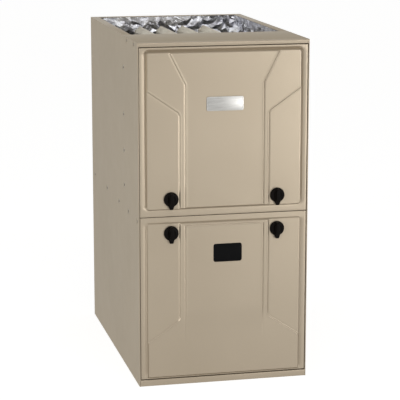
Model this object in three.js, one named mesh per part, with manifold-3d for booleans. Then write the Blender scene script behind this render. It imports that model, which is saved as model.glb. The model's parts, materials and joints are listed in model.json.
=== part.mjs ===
// Upflow forced air gas furnace. Millimetres, +Z up.
// X is to the right seen from the front, the doors face -Y.
// The origin is the centre of the overall footprint, on the floor; the knobs count in the footprint.

import * as THREE from 'three';
import * as BufferGeometryUtils from 'three/addons/utils/BufferGeometryUtils.js';
import Module from 'manifold-3d';

const wasm = await Module();
wasm.setup();

// ---------------------------------------------------------------- driving dimensions

// casing
const caseWidth = 444.5;
const caseDepth = 724;
const caseHeight = 889;
const sheet = 1.2;
const fit = 0.3;
const flatness = 0.002;
const knobReach = 20;
const hemDepth = 12;
const stileWidth = 20;
const topFlange = 22;
const baseFlange = 25;
const backFlange = 16;
const topPlateDepth = 208;
const lipHeight = 11;
const lipSetback = 1.5;
const railHeight = 17;
const railDepth = 40;

// doors
const doorDepth = 22;
const doorSheet = 1.2;
const doorSideGap = 1.5;
const doorLip = 12;
const upperDoorBottom = 446;
const upperDoorTopGap = 1.5;
const doorJointGap = 1;
const lowerDoorBottomGap = 2;
const fieldBorder = 20;
const fieldCorner = 8;
const wingHeight = 3.5;
const fieldHeight = 5.5;
const panelHeight = 7.5;
const bevelRun = 0.85;
const panelHalfWidth = 102;
const panelFlareHalfWidth = 144;
const panelFlareDrop = 83;
const wingHalfWidth = 116;
const wingCorner = 4;
const upperFieldTopBorder = 10;
const upperFieldBottomBorder = 18;
const upperWingOuterDrop = 97;
const upperWingInnerDrop = 154;
const lowerFieldTopBorder = 14;
const lowerFieldBottomBorder = 3;
const lowerWingOuterRise = 94;
const lowerWingInnerRise = 149;
const fadeStartRise = 76;
const fadeLength = 110;
const switchTabWidth = 20;

// knobs and their latches
const knobRadius = 19;
const knobInset = 83.25;
const upperKnobRise = 45;
const lowerKnobDrop = 41.5;
const knobSkirt = 5;
const knobGripWidth = 11;
const knobLugReach = 26;
const knobLugWidth = 9;
const knobStemRadius = 5;
const knobStemHole = 6;
const latchBarLength = 26;
const latchBarWidth = 8;
const latchBarThickness = 4;
const latchHoleRadius = 16;
const latchPlateHalfWidth = 22;
const latchPlateMargin = 22;

// sight window and nameplate
const windowX = 8;
const windowDrop = 98;
const windowWidth = 75;
const windowHeight = 48;
const windowCorner = 6;
const windowFlange = 6;
const windowThickness = 3;
const retainerRim = 12;
const plateWidth = 96;
const plateHeight = 36;
const plateCorner = 5;
const plateThickness = 1.6;
const plateDrop = 134;
const padThickness = 12;
const padMargin = 24;

// shelf, vestibule and liners
const shelfHeight = 424;
const shelfFlange = 17;
const shelfFrontFlange = 31;
const vestibuleSetback = 212;
const vestibuleFlange = 17;
const linerThickness = 12.7;

// heat exchanger
const cellCount = 4;
const cellThickness = 38;
const cellSideGap = 96;
const cellBackGap = 59;
const cellTopDrop = 23;
const cellBottomGap = 5;
const cellRim = 4;
const cellWall = 1;
const cellSeam = 2.4;
const passProportions = [110, 90, 74, 60];
const passGap = 26;
const passBendWidth = 84;
const passCorner = 24;
const portRadius = 17;
const portHoleClearance = 0.5;
const portInset = 2;

// burners and gas train
const burnerRadius = 15;
const burnerBell = 21;
const burnerLength = 96;
const burnerWall = 1.5;
const burnerBellLength = 22;
const burnerThroatEnd = 42;
const burnerHeadStart = 66;
const burnerBracketMargin = 32;
const burnerBracketDepth = 112;
const burnerBracketHeight = 54;
const burnerHangerSetback = 18;
const bracketFlange = 12;
const manifoldRadius = 13.5;
const manifoldSetback = 74;
const spudRadius = 5;
const spudReach = 6;
const elbowLength = 22;
const elbowWall = 3;
const strapReach = 4;
const strapHeight = 16;
const valveWidth = 60;
const valveHeight = 84;
const valveDepth = 62;
const valveInset = 56.25;
const valveBelowPipe = 24;
const regulatorRadius = 14;
const regulatorReach = 8;
const regulatorOffset = 12;
const regulatorRise = 40;
const coilDepth = 40;
const coilHeight = 20;
const coilMargin = 6;
const gasPipeRadius = 10.5;
const gasPipeWall = 2.8;
const gasPipeClearance = 2;
const pipeNutLength = 12;
const pipeNutWall = 4;
const leverOffset = 14;
const leverRise = 38;
const leverLength = 20;
const leverWidth = 8;
const leverThickness = 6;
const leverRadius = 4;
const leverHubRadius = 8;
const leverBossRadius = 9;
const leverBossReach = 3;
const leverBoreDepth = 12;
const leverSpindleLength = 16;
const sparkOffset = 23;
const igniterStandoff = 12;
const igniterHeight = 24;
const igniterRise = 2;
const igniterWidth = 12;
const igniterDepth = 12;
const igniterFootWidth = 28;
const igniterFootHeight = 16;
const igniterElementWidth = 8;
const igniterElementThickness = 3;
const igniterElementDrop = 6;
const sensorHeight = 28;
const sensorRadius = 5;
const sensorWireRadius = 1.6;
const sensorWireDrop = 4;
const sensorFootWidth = 24;
const sensorFootHeight = 14;
const footThickness = 2;
const webHeight = 4;
const rolloutWidth = 12;
const rolloutDepth = 28;
const rolloutHeight = 24;
const rolloutBossRadius = 6;
const rolloutBossReach = 4;
const rolloutButtonDepth = 6;
const rolloutButtonProud = 3;
const rolloutButtonRadius = 3;
const rolloutButtonTravel = 3;

// draft inducer and vent
const inducerX = -25;
const inducerDrop = 131;
const inducerWheelRadius = 60;
const inducerWheelWidth = 34;
const inducerWheelDisc = 2;
const inducerBladeRoot = 24;
const inducerHubRadius = 12;
const inducerHubSetback = 6;
const inducerShaftReach = 20;
const inducerBlades = 10;
const inducerBladeSweep = 0.35;
const inducerBladeLead = 0.07;
const inducerBladeTip = 0.04;
const inducerDepth = 60;
const inducerStartRadius = 72;
const inducerEndRadius = 105;
const inducerCutoffAngle = 108;
const inducerDuctGap = 3;
const inducerMotorRadius = 42;
const inducerMotorLength = 60;
const inducerMotorFoot = 8;
const inducerMotorFootDepth = 4;
const inducerMotorShoulder = 16;
const inducerMotorCrown = 10;
const inducerInletRadius = 38;
const collectorDepth = 48;
const collectorHalfWidth = 124;
const collectorFlange = 10;
const collectorTopDrop = 24;
const collectorBelowInlet = 20;
const ventRadius = 38;
const ventWall = 1;
const ventPlateMargin = 6;
const ventMouthMargin = 4;
const pressureSwitchRadius = 40;
const pressureSwitchDepth = 34;
const pressureSwitchCrown = 18;
const pressureSwitchRim = 16;
const pressureSwitchPost = 12;
const pressureBracketWidth = 60;
const pressureBracketHeight = 92;
const pressurePortSetback = 24;
const pressurePortReach = 8;
const pressureSwitchInset = 50;
const pressureSwitchDrop = 118;
const tapDrop = 18;
const tapReach = 2;
const tubeRadius = 4;
const tubeBend = 34;
const limitInset = 57;
const limitDrop = 118;
const limitProbeRadius = 8;
const limitProbeLength = 30;
const limitDiscMargin = 10;
const limitDiscThickness = 2;
const limitCapMargin = 3;
const limitCapDepth = 16;
const limitBladeDepth = 28;
const limitBladeInner = 4;
const limitBladeOuter = 7;
const limitBladeThickness = 1;

// circulating blower
const blowerSetback = 177;
const blowerHeight = 198;
const wheelRadius = 127;
const wheelInnerRadius = 108;
const wheelWidth = 198;
const wheelRingWidth = 3;
const wheelRingDepth = 8;
const wheelDiscThickness = 2;
const hubRadius = 18;
const hubLength = 32;
const bladeCount = 24;
const bladeThickness = 1.6;
const bladeLead = 0.07;
const blowerWidth = 245;
const blowerStartRadius = 139;
const blowerEndRadius = 205;
const blowerCutoffAngle = 70;
const inletRadius = 107;
const inletCollar = 6;
const inletCollarWall = 5;
const blowerFlange = 17;
const motorRadius = 70;
const motorLength = 104;
const motorFaceX = -62;
const motorShoulder = 16;
const motorBoreDepth = 40;
const motorEndRatio = 0.7;
const mountBandOffset = 14;
const mountBandWidth = 24;
const mountBandWall = 2.5;
const mountArmWidth = 14;
const mountArmThickness = 3;
const mountFootMargin = 8;
const shaftRadius = 6.35;
const shaftBeyondHub = 24;
const shaftEndGap = 2;
const capacitorRadius = 22;
const capacitorHeight = 78;
const capacitorDrop = 110;
const strapThickness = 1.5;
const strapWidth = 14;
const strapTab = 12;
const terminalSpacing = 12;
const terminalWidth = 6;
const terminalThickness = 1;
const terminalHeight = 8;

// controls
const controlSetback = 70;
const controlPanelWidth = 250;
const controlPanelBottom = 235;
const boardWidth = 165;
const boardHeight = 112;
const boardLeftOfWindow = 60;
const boardThickness = 1.6;
const boardStandoff = 8;
const boardPostRadius = 3;
const boardPostInset = 8;
const relayCount = 3;
const relayWidth = 28;
const relayHeight = 22;
const relayDepth = 18;
const relayPitch = 34;
const relayInset = 14;
const relayRise = 12;
const terminalStripStart = 20;
const terminalStripLength = 100;
const terminalStripHeight = 10;
const terminalStripDrop = 6;
const terminalStripDepth = 12;
const boardPlugInset = 6;
const boardPlugWidth = 20;
const boardPlugHeight = 48;
const boardPlugRise = 36;
const boardPlugDepth = 14;
const controlFlange = 26;
const controlStiffener = 16;
const transformerGap = 8;
const transformerWidth = 58;
const transformerHeight = 60;
const transformerFootHeight = 76;
const transformerFootThickness = 6;
const transformerStandoff = 4;
const transformerDepth = 34;
const windingDepth = 44;
const windingHeight = 40;
const windingMargin = 10;
const junctionDepth = 46;
const junctionLength = 90;
const junctionHeight = 90;
const junctionAhead = 10;
const junctionBelowWindow = 20;
const doorSwitchX = -95;
const doorSwitchDrop = 14;
const doorSwitchWidth = 30;
const doorSwitchDepth = 34;
const doorSwitchSetback = 6;
const doorSwitchBelow = 11;
const doorSwitchEnd = 8;
const plungerLength = 20;
const plungerRadius = 3;

// ---------------------------------------------------------------- derived places

const halfWidth = caseWidth / 2;
const frontY = -(caseDepth - knobReach) / 2;
const backY = frontY + caseDepth;
const innerHalfWidth = halfWidth - sheet;
const seatedHalfWidth = innerHalfWidth - fit;
const doorHalfWidth = halfWidth - 2 * sheet - doorSideGap;
const doorBackY = frontY + doorDepth;
const stileY = doorBackY + fit;
const latchPlateY = stileY + sheet + fit;
const stileInnerHalfWidth = innerHalfWidth - stileWidth;
const lipBottom = caseHeight - lipHeight;
const upperDoorTop = lipBottom - upperDoorTopGap;
const lowerDoorTop = upperDoorBottom - doorJointGap;
const lowerDoorBottom = railHeight + lowerDoorBottomGap;
const fieldHalfWidth = halfWidth - fieldBorder;
const upperField = {
  bottom: upperDoorBottom + upperFieldBottomBorder,
  top: upperDoorTop - upperFieldTopBorder,
};
const lowerField = {
  bottom: lowerDoorBottom + lowerFieldBottomBorder,
  top: lowerDoorTop - lowerFieldTopBorder,
};
const knobX = halfWidth - knobInset;
const upperKnobZ = upperDoorBottom + upperKnobRise;
const lowerKnobZ = lowerDoorTop - lowerKnobDrop;
const windowZ = lowerDoorTop - windowDrop;
const shelfTop = shelfHeight + sheet;
const doorSwitchZ = shelfHeight - doorSwitchDrop;
const shelfFrontTop = shelfHeight + shelfFrontFlange;
const shelfSideTop = shelfHeight + shelfFlange;
const vestibuleY = frontY + vestibuleSetback;
const panelInnerY = backY - 2 * sheet - fit;
const linerInnerHalfWidth = seatedHalfWidth - linerThickness;
const linerBackY = panelInnerY - fit - linerThickness;
const cellTop = caseHeight - cellTopDrop;
const cellBottom = shelfSideTop + cellBottomGap;
const cellFrontY = vestibuleY + sheet + fit;
const cellLength = linerBackY - cellBackGap - cellFrontY;
const cellPitch = 2 * (linerInnerHalfWidth - cellSideGap - cellThickness / 2) / (cellCount - 1);
const allPasses = cellTop - cellBottom - 2 * cellRim - passGap * (passProportions.length - 1);
const passUnit = allPasses / passProportions.reduce((sum, share) => sum + share);
const passHeights = passProportions.map((share) => share * passUnit);
const inletZ = cellBottom + cellRim + passHeights[0] / 2;
const outletZ = cellTop - cellRim - passHeights[passHeights.length - 1] / 2;
const collectorY = vestibuleY - collectorDepth;
const inducerHeight = caseHeight - inducerDrop;
const inducerBackY = collectorY - fit;
const inducerFrontY = inducerBackY - inducerDepth;
const inducerMidY = (inducerBackY + inducerFrontY) / 2;
const inducerDuctLength = collectorHalfWidth + inducerDuctGap - inducerX;
const inducerDuctRise = -inducerStartRadius * Math.cos(radians(inducerCutoffAngle));
const ventZ = inducerHeight + (inducerEndRadius + inducerDuctRise) / 2;
const tapX = inducerX - inducerEndRadius - tapReach;
const tapZ = inducerHeight - tapDrop;
const pressureSwitchX = pressureSwitchInset - halfWidth;
const pressureSwitchZ = inducerHeight - pressureSwitchDrop;
const pressurePortTop = pressureSwitchRadius + pressurePortReach;
const limitX = halfWidth - limitInset;
const limitZ = inducerHeight - limitDrop;
const blowerY = backY - blowerSetback;
const controlY = frontY + controlSetback;
const manifoldY = frontY + manifoldSetback;
const valveX = halfWidth - valveInset;
const valveFrontY = manifoldY - valveDepth / 2;
const leverX = valveX + leverOffset;
const leverZ = inletZ + leverRise;
const burnerBackY = vestibuleY - fit;
const burnerFrontY = burnerBackY - burnerLength;
const bracketFrontY = burnerBackY - burnerBracketDepth;
const bracketReach = (cellCount - 1) / 2 * cellPitch + burnerBracketMargin;
const sparkBottom = inletZ + burnerBracketHeight / 2 + igniterRise;

// ---------------------------------------------------------------- materials

const paint = new THREE.MeshStandardMaterial({ color: 0xb5a995, roughness: 0.42, metalness: 0.1 });
const galvanised = new THREE.MeshStandardMaterial({ color: 0xa9adae, roughness: 0.45, metalness: 0.8 });
const aluminised = new THREE.MeshStandardMaterial({ color: 0xb8b4a8, roughness: 0.4, metalness: 0.8 });
const foil = new THREE.MeshStandardMaterial({ color: 0xd8dadc, roughness: 0.25, metalness: 0.9 });
const blackPlastic = new THREE.MeshStandardMaterial({ color: 0x17130f, roughness: 0.4, metalness: 0 });
const darkGlass = new THREE.MeshStandardMaterial({ color: 0x0c0d0f, roughness: 0.15, metalness: 0 });
const castMetal = new THREE.MeshStandardMaterial({ color: 0x9b9d9f, roughness: 0.5, metalness: 0.7 });
const blackSteel = new THREE.MeshStandardMaterial({ color: 0x26262a, roughness: 0.5, metalness: 0.5 });
const motorPaint = new THREE.MeshStandardMaterial({ color: 0x2c2f33, roughness: 0.5, metalness: 0.4 });
const polishedSteel = new THREE.MeshStandardMaterial({ color: 0xc8cacc, roughness: 0.25, metalness: 1 });
const circuitGreen = new THREE.MeshStandardMaterial({ color: 0x1f5a35, roughness: 0.5, metalness: 0 });
const redPlastic = new THREE.MeshStandardMaterial({ color: 0xa3221b, roughness: 0.4, metalness: 0 });
const rubber = new THREE.MeshStandardMaterial({ color: 0x1c1c1c, roughness: 0.8, metalness: 0 });
const ceramic = new THREE.MeshStandardMaterial({ color: 0xe7e2d6, roughness: 0.6, metalness: 0 });

// ---------------------------------------------------------------- solids

function radians(degrees) {
  return degrees * Math.PI / 180;
}

function solidOf(geometry) {
  const plain = geometry.clone();
  plain.deleteAttribute('normal');
  plain.deleteAttribute('uv');
  const merged = BufferGeometryUtils.mergeVertices(plain, 1e-4);
  return new wasm.Manifold(new wasm.Mesh({
    numProp: 3,
    vertProperties: new Float32Array(merged.attributes.position.array),
    triVerts: new Uint32Array(merged.index.array),
  }));
}

function join(first, ...others) {
  return others.reduce((whole, piece) => whole.add(piece), first);
}

function cut(first, ...tools) {
  return tools.reduce((whole, tool) => whole.subtract(tool), first);
}

// Flat faces that were joined from several solids become one, without the points left over between them.
function mesh(name, solid, material) {
  const { vertProperties, triVerts } = solid.asOriginal().simplify(flatness).getMesh();
  const geometry = new THREE.BufferGeometry();
  geometry.setAttribute('position', new THREE.BufferAttribute(vertProperties, 3));
  geometry.setIndex(new THREE.BufferAttribute(triVerts, 1));
  geometry.computeVertexNormals();
  const piece = new THREE.Mesh(geometry, material);
  piece.name = name;
  return piece;
}

function placed(piece, x, y, z) {
  piece.position.set(x, y, z);
  return piece;
}

// Stretches a geometry that is centred on one axis, so that it lies exactly between two ends there.
function between(geometry, axis, from, to) {
  const { array } = geometry.attributes.position;
  const low = Math.min(from, to);
  const high = Math.max(from, to);
  for (let index = 'xyz'.indexOf(axis); index < array.length; index += 3) {
    array[index] = array[index] < 0 ? low : high;
  }
  return geometry;
}

// A box given by the two ends of each side.
function block(x0, x1, y0, y1, z0, z1) {
  const geometry = new THREE.BoxGeometry(1, 1, 1);
  between(geometry, 'x', x0, x1);
  between(geometry, 'y', y0, y1);
  between(geometry, 'z', z0, z1);
  return solidOf(geometry);
}

// A round bar along one axis, from one end to the other; across holds its two other coordinates in order.
function rod(axis, radius, from, to, across = [0, 0], sides = 24) {
  const geometry = new THREE.CylinderGeometry(radius, radius, 1, sides);
  if (axis === 'x') {
    geometry.rotateZ(-Math.PI / 2);
    geometry.translate(0, across[0], across[1]);
  } else if (axis === 'y') {
    geometry.translate(across[0], 0, across[1]);
  } else {
    geometry.rotateX(Math.PI / 2);
    geometry.translate(across[0], across[1], 0);
  }
  return solidOf(between(geometry, axis, from, to));
}

// A turned piece: profile holds [radius, distance along the axis] pairs, and it is closed.
function turned(axis, profile, sides = 24) {
  const geometry = new THREE.LatheGeometry(profile.map(([r, along]) => new THREE.Vector2(r, along)), sides);
  if (axis === 'x') geometry.rotateZ(-Math.PI / 2);
  if (axis === 'z') geometry.rotateX(Math.PI / 2);
  return solidOf(geometry);
}

function polygon(points) {
  return new THREE.Shape(points.map(([u, v]) => new THREE.Vector2(u, v)));
}

function roundedRectangle(u0, u1, v0, v1, radius) {
  const shape = new THREE.Shape();
  shape.absarc(u1 - radius, v1 - radius, radius, 0, Math.PI / 2);
  shape.absarc(u0 + radius, v1 - radius, radius, Math.PI / 2, Math.PI);
  shape.absarc(u0 + radius, v0 + radius, radius, Math.PI, 1.5 * Math.PI);
  shape.absarc(u1 - radius, v0 + radius, radius, 1.5 * Math.PI, 2 * Math.PI);
  shape.closePath();
  return shape;
}

// A closed outline through corner points, each corner rounded as far as its two edges allow.
function roundedOutline(corners, radius) {
  const points = corners.map(([u, v]) => new THREE.Vector2(u, v));
  const shape = new THREE.Shape();
  points.forEach((corner, index) => {
    const before = points[(index + points.length - 1) % points.length];
    const after = points[(index + 1) % points.length];
    const reach = Math.min(radius, corner.distanceTo(before) / 2, corner.distanceTo(after) / 2);
    const start = corner.clone().add(before.clone().sub(corner).setLength(reach));
    const end = corner.clone().add(after.clone().sub(corner).setLength(reach));
    if (index === 0) shape.moveTo(start.x, start.y);
    else shape.lineTo(start.x, start.y);
    shape.quadraticCurveTo(corner.x, corner.y, end.x, end.y);
  });
  shape.closePath();
  return shape;
}

const front = new THREE.Matrix4().makeBasis(
  new THREE.Vector3(1, 0, 0), new THREE.Vector3(0, 0, 1), new THREE.Vector3(0, -1, 0));
const side = new THREE.Matrix4().makeBasis(
  new THREE.Vector3(0, 1, 0), new THREE.Vector3(0, 0, 1), new THREE.Vector3(1, 0, 0));

function plate(shape, basis, axis, from, to, segments) {
  const options = { depth: 1, bevelEnabled: false, curveSegments: segments };
  const geometry = new THREE.ExtrudeGeometry(shape, options);
  geometry.translate(0, 0, -0.5);
  geometry.applyMatrix4(basis);
  return solidOf(between(geometry, axis, from, to));
}

// A shape drawn in X and Z, reaching from the plane y = back towards the front.
function frontPlate(shape, back, thickness, segments = 3) {
  return plate(shape, front, 'y', back - thickness, back, segments);
}

// A shape drawn in Y and Z, reaching from the plane x = from to the right.
function sidePlate(shape, from, thickness, segments = 3) {
  return plate(shape, side, 'x', from, from + thickness, segments);
}

// A pressed-up form with sloping edges: it stands height proud of the plane y = base, towards the front.
function pressing(shape, base, height) {
  const run = height * bevelRun;
  const core = 2;
  const geometry = new THREE.ExtrudeGeometry(shape, {
    depth: core, bevelEnabled: true, bevelThickness: height, bevelSize: run, bevelOffset: -run,
    bevelSegments: 1, curveSegments: 3,
  });
  geometry.applyMatrix4(front);
  geometry.translate(0, base + core, 0);
  return solidOf(geometry);
}

// ---------------------------------------------------------------- casing

// One folded side of the casing, drawn for the left and mirrored for the right.
function casingSide(hand, ...openings) {
  const outer = hand * halfWidth;
  const inner = hand * innerHalfWidth;
  const inward = (distance) => hand * (halfWidth - distance);
  const wall = block(outer, inner, frontY, backY, 0, caseHeight);
  const plateTopClearance = block(inner, inward(2 * sheet), frontY, frontY + hemDepth, 0, caseHeight);
  const stile = block(inner, hand * stileInnerHalfWidth, stileY, stileY + sheet,
    railHeight + sheet, lipBottom - sheet);
  const top = block(inner, inward(topFlange), frontY + topPlateDepth + fit, backY,
    caseHeight - sheet, caseHeight);
  const base = block(inner, inward(baseFlange), frontY + railDepth + fit, backY, 0, sheet);
  const back = block(inner, inward(backFlange), backY - sheet, backY, 0, caseHeight);
  return cut(join(wall, plateTopClearance, stile, top, base, back), ...openings);
}

function casingBack() {
  const behindFlange = backY - sheet - fit;
  const clearOfTop = halfWidth - topFlange - fit;
  const clearOfBase = halfWidth - baseFlange - fit;
  const sheetMetal = block(-seatedHalfWidth, seatedHalfWidth, panelInnerY, behindFlange,
    sheet + fit, caseHeight - sheet - fit);
  const topMiddle = block(-clearOfTop, clearOfTop, panelInnerY, behindFlange, sheet + fit, caseHeight);
  const top = block(-clearOfTop, clearOfTop, behindFlange - topFlange, behindFlange,
    caseHeight - sheet, caseHeight);
  const base = block(-clearOfBase, clearOfBase, behindFlange - baseFlange, behindFlange, 0, sheet);
  const baseMiddle = block(-clearOfBase, clearOfBase, panelInnerY, behindFlange, 0, sheet + 2 * fit);
  return mesh('casing_back', join(sheetMetal, topMiddle, top, base, baseMiddle), paint);
}

// The plate over the burner compartment, with the front lip, screw flanges and a rear flange.
function topFrontPlate() {
  const between = halfWidth - 2 * sheet - fit;
  const rearY = frontY + topPlateDepth;
  const under = caseHeight - sheet;
  const ahead = block(-between, between, frontY, frontY + hemDepth + fit, under, caseHeight);
  const deck = block(-seatedHalfWidth, seatedHalfWidth, frontY + hemDepth + fit, rearY, under, caseHeight);
  const lip = block(-between, between, frontY + lipSetback, frontY + lipSetback + sheet, lipBottom, under);
  const flangeEnd = vestibuleY - vestibuleFlange - fit;
  const flanges = [-1, 1].map((hand) => block(hand * seatedHalfWidth, hand * (seatedHalfWidth - sheet),
    stileY + 2 * sheet, flangeEnd, caseHeight - 1.5 * lipHeight, under));
  const rearHalfWidth = seatedHalfWidth - 2 * sheet;
  const rear = block(-rearHalfWidth, rearHalfWidth, rearY - sheet, rearY, caseHeight - 2 * lipHeight, under);
  return mesh('top_front_plate', join(ahead, deck, lip, ...flanges, rear), paint);
}

function baseRail() {
  const end = halfWidth - 2 * sheet - fit;
  const face = block(-end, end, frontY, frontY + sheet, 0, railHeight);
  const top = block(-end, end, frontY, doorBackY - fit, railHeight - sheet, railHeight);
  const foot = block(-end, end, frontY, frontY + hemDepth, 0, sheet);
  const footBehindHem = block(-seatedHalfWidth, seatedHalfWidth, frontY + hemDepth + fit, frontY + railDepth,
    0, sheet);
  const footJoint = block(-end, end, frontY + hemDepth, frontY + hemDepth + fit, 0, sheet);
  return mesh('base_rail', join(face, top, foot, footJoint, footBehindHem), paint);
}

// The deck that the blower hangs from, with its outlet cut through it.
function blowerShelf() {
  const betweenStiles = stileInnerHalfWidth - fit;
  const backEdge = panelInnerY - fit;
  const deck = block(-seatedHalfWidth, seatedHalfWidth, stileY + sheet + fit, backEdge,
    shelfHeight, shelfTop);
  const nose = block(-betweenStiles, betweenStiles, stileY, stileY + 2 * sheet, shelfHeight, shelfTop);
  const frontFlange = block(-betweenStiles, betweenStiles, stileY, stileY + sheet,
    shelfHeight, shelfFrontTop);
  const sides = [-1, 1].map((hand) => block(hand * seatedHalfWidth, hand * (seatedHalfWidth - sheet),
    stileY + sheet + fit, backEdge, shelfHeight, shelfSideTop));
  const outlet = block(-blowerWidth / 2 + sheet, blowerWidth / 2 - sheet,
    blowerY - blowerEndRadius + sheet, blowerY + cutoffReach() - sheet, shelfHeight - 1, shelfTop + 1);
  const bracketSlots = [-1, 1].map((hand) => block(hand * (knobX - latchPlateHalfWidth - fit),
    hand * (knobX + latchPlateHalfWidth + fit), stileY + sheet, latchPlateY + sheet + fit,
    shelfHeight - 1, shelfTop + 1));
  const whole = join(deck, nose, frontFlange, ...sides);
  return mesh('blower_shelf', cut(whole, outlet, ...bracketSlots), galvanised);
}

function cellPositions() {
  return Array.from({ length: cellCount }, (_, index) => (index - (cellCount - 1) / 2) * cellPitch);
}

// The panel between the burner compartment and the heat exchanger.
function vestibulePanel() {
  const bottom = shelfTop + fit;
  const top = caseHeight - sheet - 2 * fit;
  const narrow = seatedHalfWidth - sheet - fit;
  const lower = block(-narrow, narrow, vestibuleY, vestibuleY + sheet, bottom, shelfSideTop + 2 * fit);
  const upper = block(-seatedHalfWidth, seatedHalfWidth, vestibuleY, vestibuleY + sheet,
    shelfSideTop + fit, top);
  const flanges = [-1, 1].map((hand) => block(hand * seatedHalfWidth, hand * (seatedHalfWidth - sheet),
    vestibuleY - vestibuleFlange, vestibuleY + sheet, shelfSideTop + fit, top));
  const holes = cellPositions().flatMap((x) => [inletZ, outletZ].map((z) => (
    rod('y', portRadius + portHoleClearance, vestibuleY - 1, vestibuleY + sheet + 1, [x, z], 16))));
  const probe = rod('y', limitProbeRadius + fit, vestibuleY - 1, vestibuleY + sheet + 1,
    [limitX, limitZ], 12);
  return mesh('vestibule_panel', cut(join(lower, upper, ...flanges), ...holes, probe), galvanised);
}

// One blanket that wraps round the left side, the back and the right side of the heat exchanger.
function casingLiner() {
  const bottom = shelfSideTop + fit;
  const top = caseHeight - sheet - 2 * fit;
  const blanket = block(-seatedHalfWidth, seatedHalfWidth, cellFrontY, panelInnerY - fit, bottom, top);
  const room = block(-linerInnerHalfWidth, linerInnerHalfWidth, cellFrontY - 1, linerBackY,
    bottom - 1, top + 1);
  return mesh('casing_liner', cut(blanket, room), foil);
}

function casing() {
  const group = new THREE.Group();
  const ventHole = rod('x', ventRadius + ventWall + fit, 0, caseWidth, [inducerMidY, ventZ], 24);
  const gasHole = rod('x', gasPipeRadius + gasPipeClearance, 0, caseWidth, [manifoldY, inletZ], 20);
  group.add(
    mesh('casing_left_side', casingSide(-1), paint),
    mesh('casing_right_side', casingSide(1, ventHole, gasHole), paint),
    casingBack(), topFrontPlate(), baseRail(), blowerShelf(), vestibulePanel(), casingLiner());
  return group;
}

// ---------------------------------------------------------------- doors

// A door is one pressed sheet: the same forms taken again one sheet thickness further back hollow it out.
function pressedDoor(bottom, top, forms, ...holes) {
  const hollowHalfWidth = doorHalfWidth - doorSheet;
  const mouthHalfWidth = doorHalfWidth - doorLip;
  const outside = block(-doorHalfWidth, doorHalfWidth, frontY, doorBackY, bottom, top);
  const cavity = block(-hollowHalfWidth, hollowHalfWidth, frontY + doorSheet, doorBackY - doorSheet,
    bottom + doorSheet, top - doorSheet);
  const mouth = block(-mouthHalfWidth, mouthHalfWidth, frontY + doorSheet, doorBackY + 1,
    bottom + doorLip, top - doorLip);
  return cut(join(outside, ...forms(frontY)), join(cavity, mouth, ...forms(frontY + doorSheet)), ...holes);
}

function upperForms(base) {
  const { bottom, top } = upperField;
  const outerZ = top - upperWingOuterDrop;
  const innerZ = top - upperWingInnerDrop;
  const all = roundedRectangle(-fieldHalfWidth, fieldHalfWidth, bottom, top, fieldCorner);
  const strip = polygon([
    [-fieldHalfWidth, top], [-fieldHalfWidth, outerZ], [-wingHalfWidth - wingCorner, innerZ],
    [-wingHalfWidth, innerZ - 2 * wingCorner], [-wingHalfWidth, bottom],
    [wingHalfWidth, bottom], [wingHalfWidth, innerZ - 2 * wingCorner],
    [wingHalfWidth + wingCorner, innerZ], [fieldHalfWidth, outerZ], [fieldHalfWidth, top],
  ]);
  const flareZ = top - panelFlareDrop;
  const centre = polygon([
    [-panelFlareHalfWidth, top], [-panelHalfWidth, flareZ], [-panelHalfWidth, bottom],
    [panelHalfWidth, bottom], [panelHalfWidth, flareZ], [panelFlareHalfWidth, top],
  ]);
  const stripForm = pressing(strip, base, fieldHeight).intersect(pressingSpace(all, base));
  return [pressing(all, base, wingHeight), stripForm, pressing(centre, base, panelHeight)];
}

// The space in front of a field's rounded outline, which trims the square corners of what is pressed in it.
function pressingSpace(outline, base) {
  return frontPlate(outline, base + doorDepth, doorDepth + panelHeight + 1);
}

function lowerForms(base) {
  const { bottom, top } = lowerField;
  const outerZ = bottom + lowerWingOuterRise;
  const innerZ = bottom + lowerWingInnerRise;
  const all = roundedRectangle(-fieldHalfWidth, fieldHalfWidth, bottom, top, fieldCorner / 2);
  const strip = polygon([
    [-fieldHalfWidth, bottom], [fieldHalfWidth, bottom], [fieldHalfWidth, outerZ],
    [wingHalfWidth + wingCorner, innerZ], [wingHalfWidth, innerZ + 2 * wingCorner], [wingHalfWidth, top],
    [-wingHalfWidth, top], [-wingHalfWidth, innerZ + 2 * wingCorner],
    [-wingHalfWidth - wingCorner, innerZ], [-fieldHalfWidth, outerZ],
  ]);
  const fadeBottom = bottom + fadeStartRise;
  const centre = polygon([
    [-panelHalfWidth, fadeBottom], [panelHalfWidth, fadeBottom],
    [panelHalfWidth, top], [-panelHalfWidth, top],
  ]);
  // The centre panel runs out into the field towards its lower end.
  const runOut = sidePlate(polygon([
    [base + doorDepth, fadeBottom], [base + doorDepth, top + 1], [base - panelHeight - 1, top + 1],
    [base - panelHeight - 1, fadeBottom + fadeLength], [base - panelHeight, fadeBottom + fadeLength],
    [base - fieldHeight, fadeBottom],
  ]), -panelHalfWidth, 2 * panelHalfWidth);
  const stripForm = pressing(strip, base, fieldHeight).intersect(pressingSpace(all, base));
  return [pressing(all, base, wingHeight), stripForm, pressing(centre, base, panelHeight).intersect(runOut)];
}

function knobStemHoles(z) {
  return [-1, 1].map((hand) => rod('y', knobStemHole, frontY - panelHeight - 1, doorBackY,
    [hand * knobX, z], 16));
}

function windowOpening() {
  const outline = roundedRectangle(windowX - windowWidth / 2, windowX + windowWidth / 2,
    windowZ - windowHeight / 2, windowZ + windowHeight / 2, windowCorner);
  return frontPlate(outline, doorBackY, doorDepth + panelHeight + 1);
}

function upperDoor() {
  return mesh('upper_door', pressedDoor(upperDoorBottom, upperDoorTop, upperForms,
    ...knobStemHoles(upperKnobZ)), paint);
}

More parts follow.
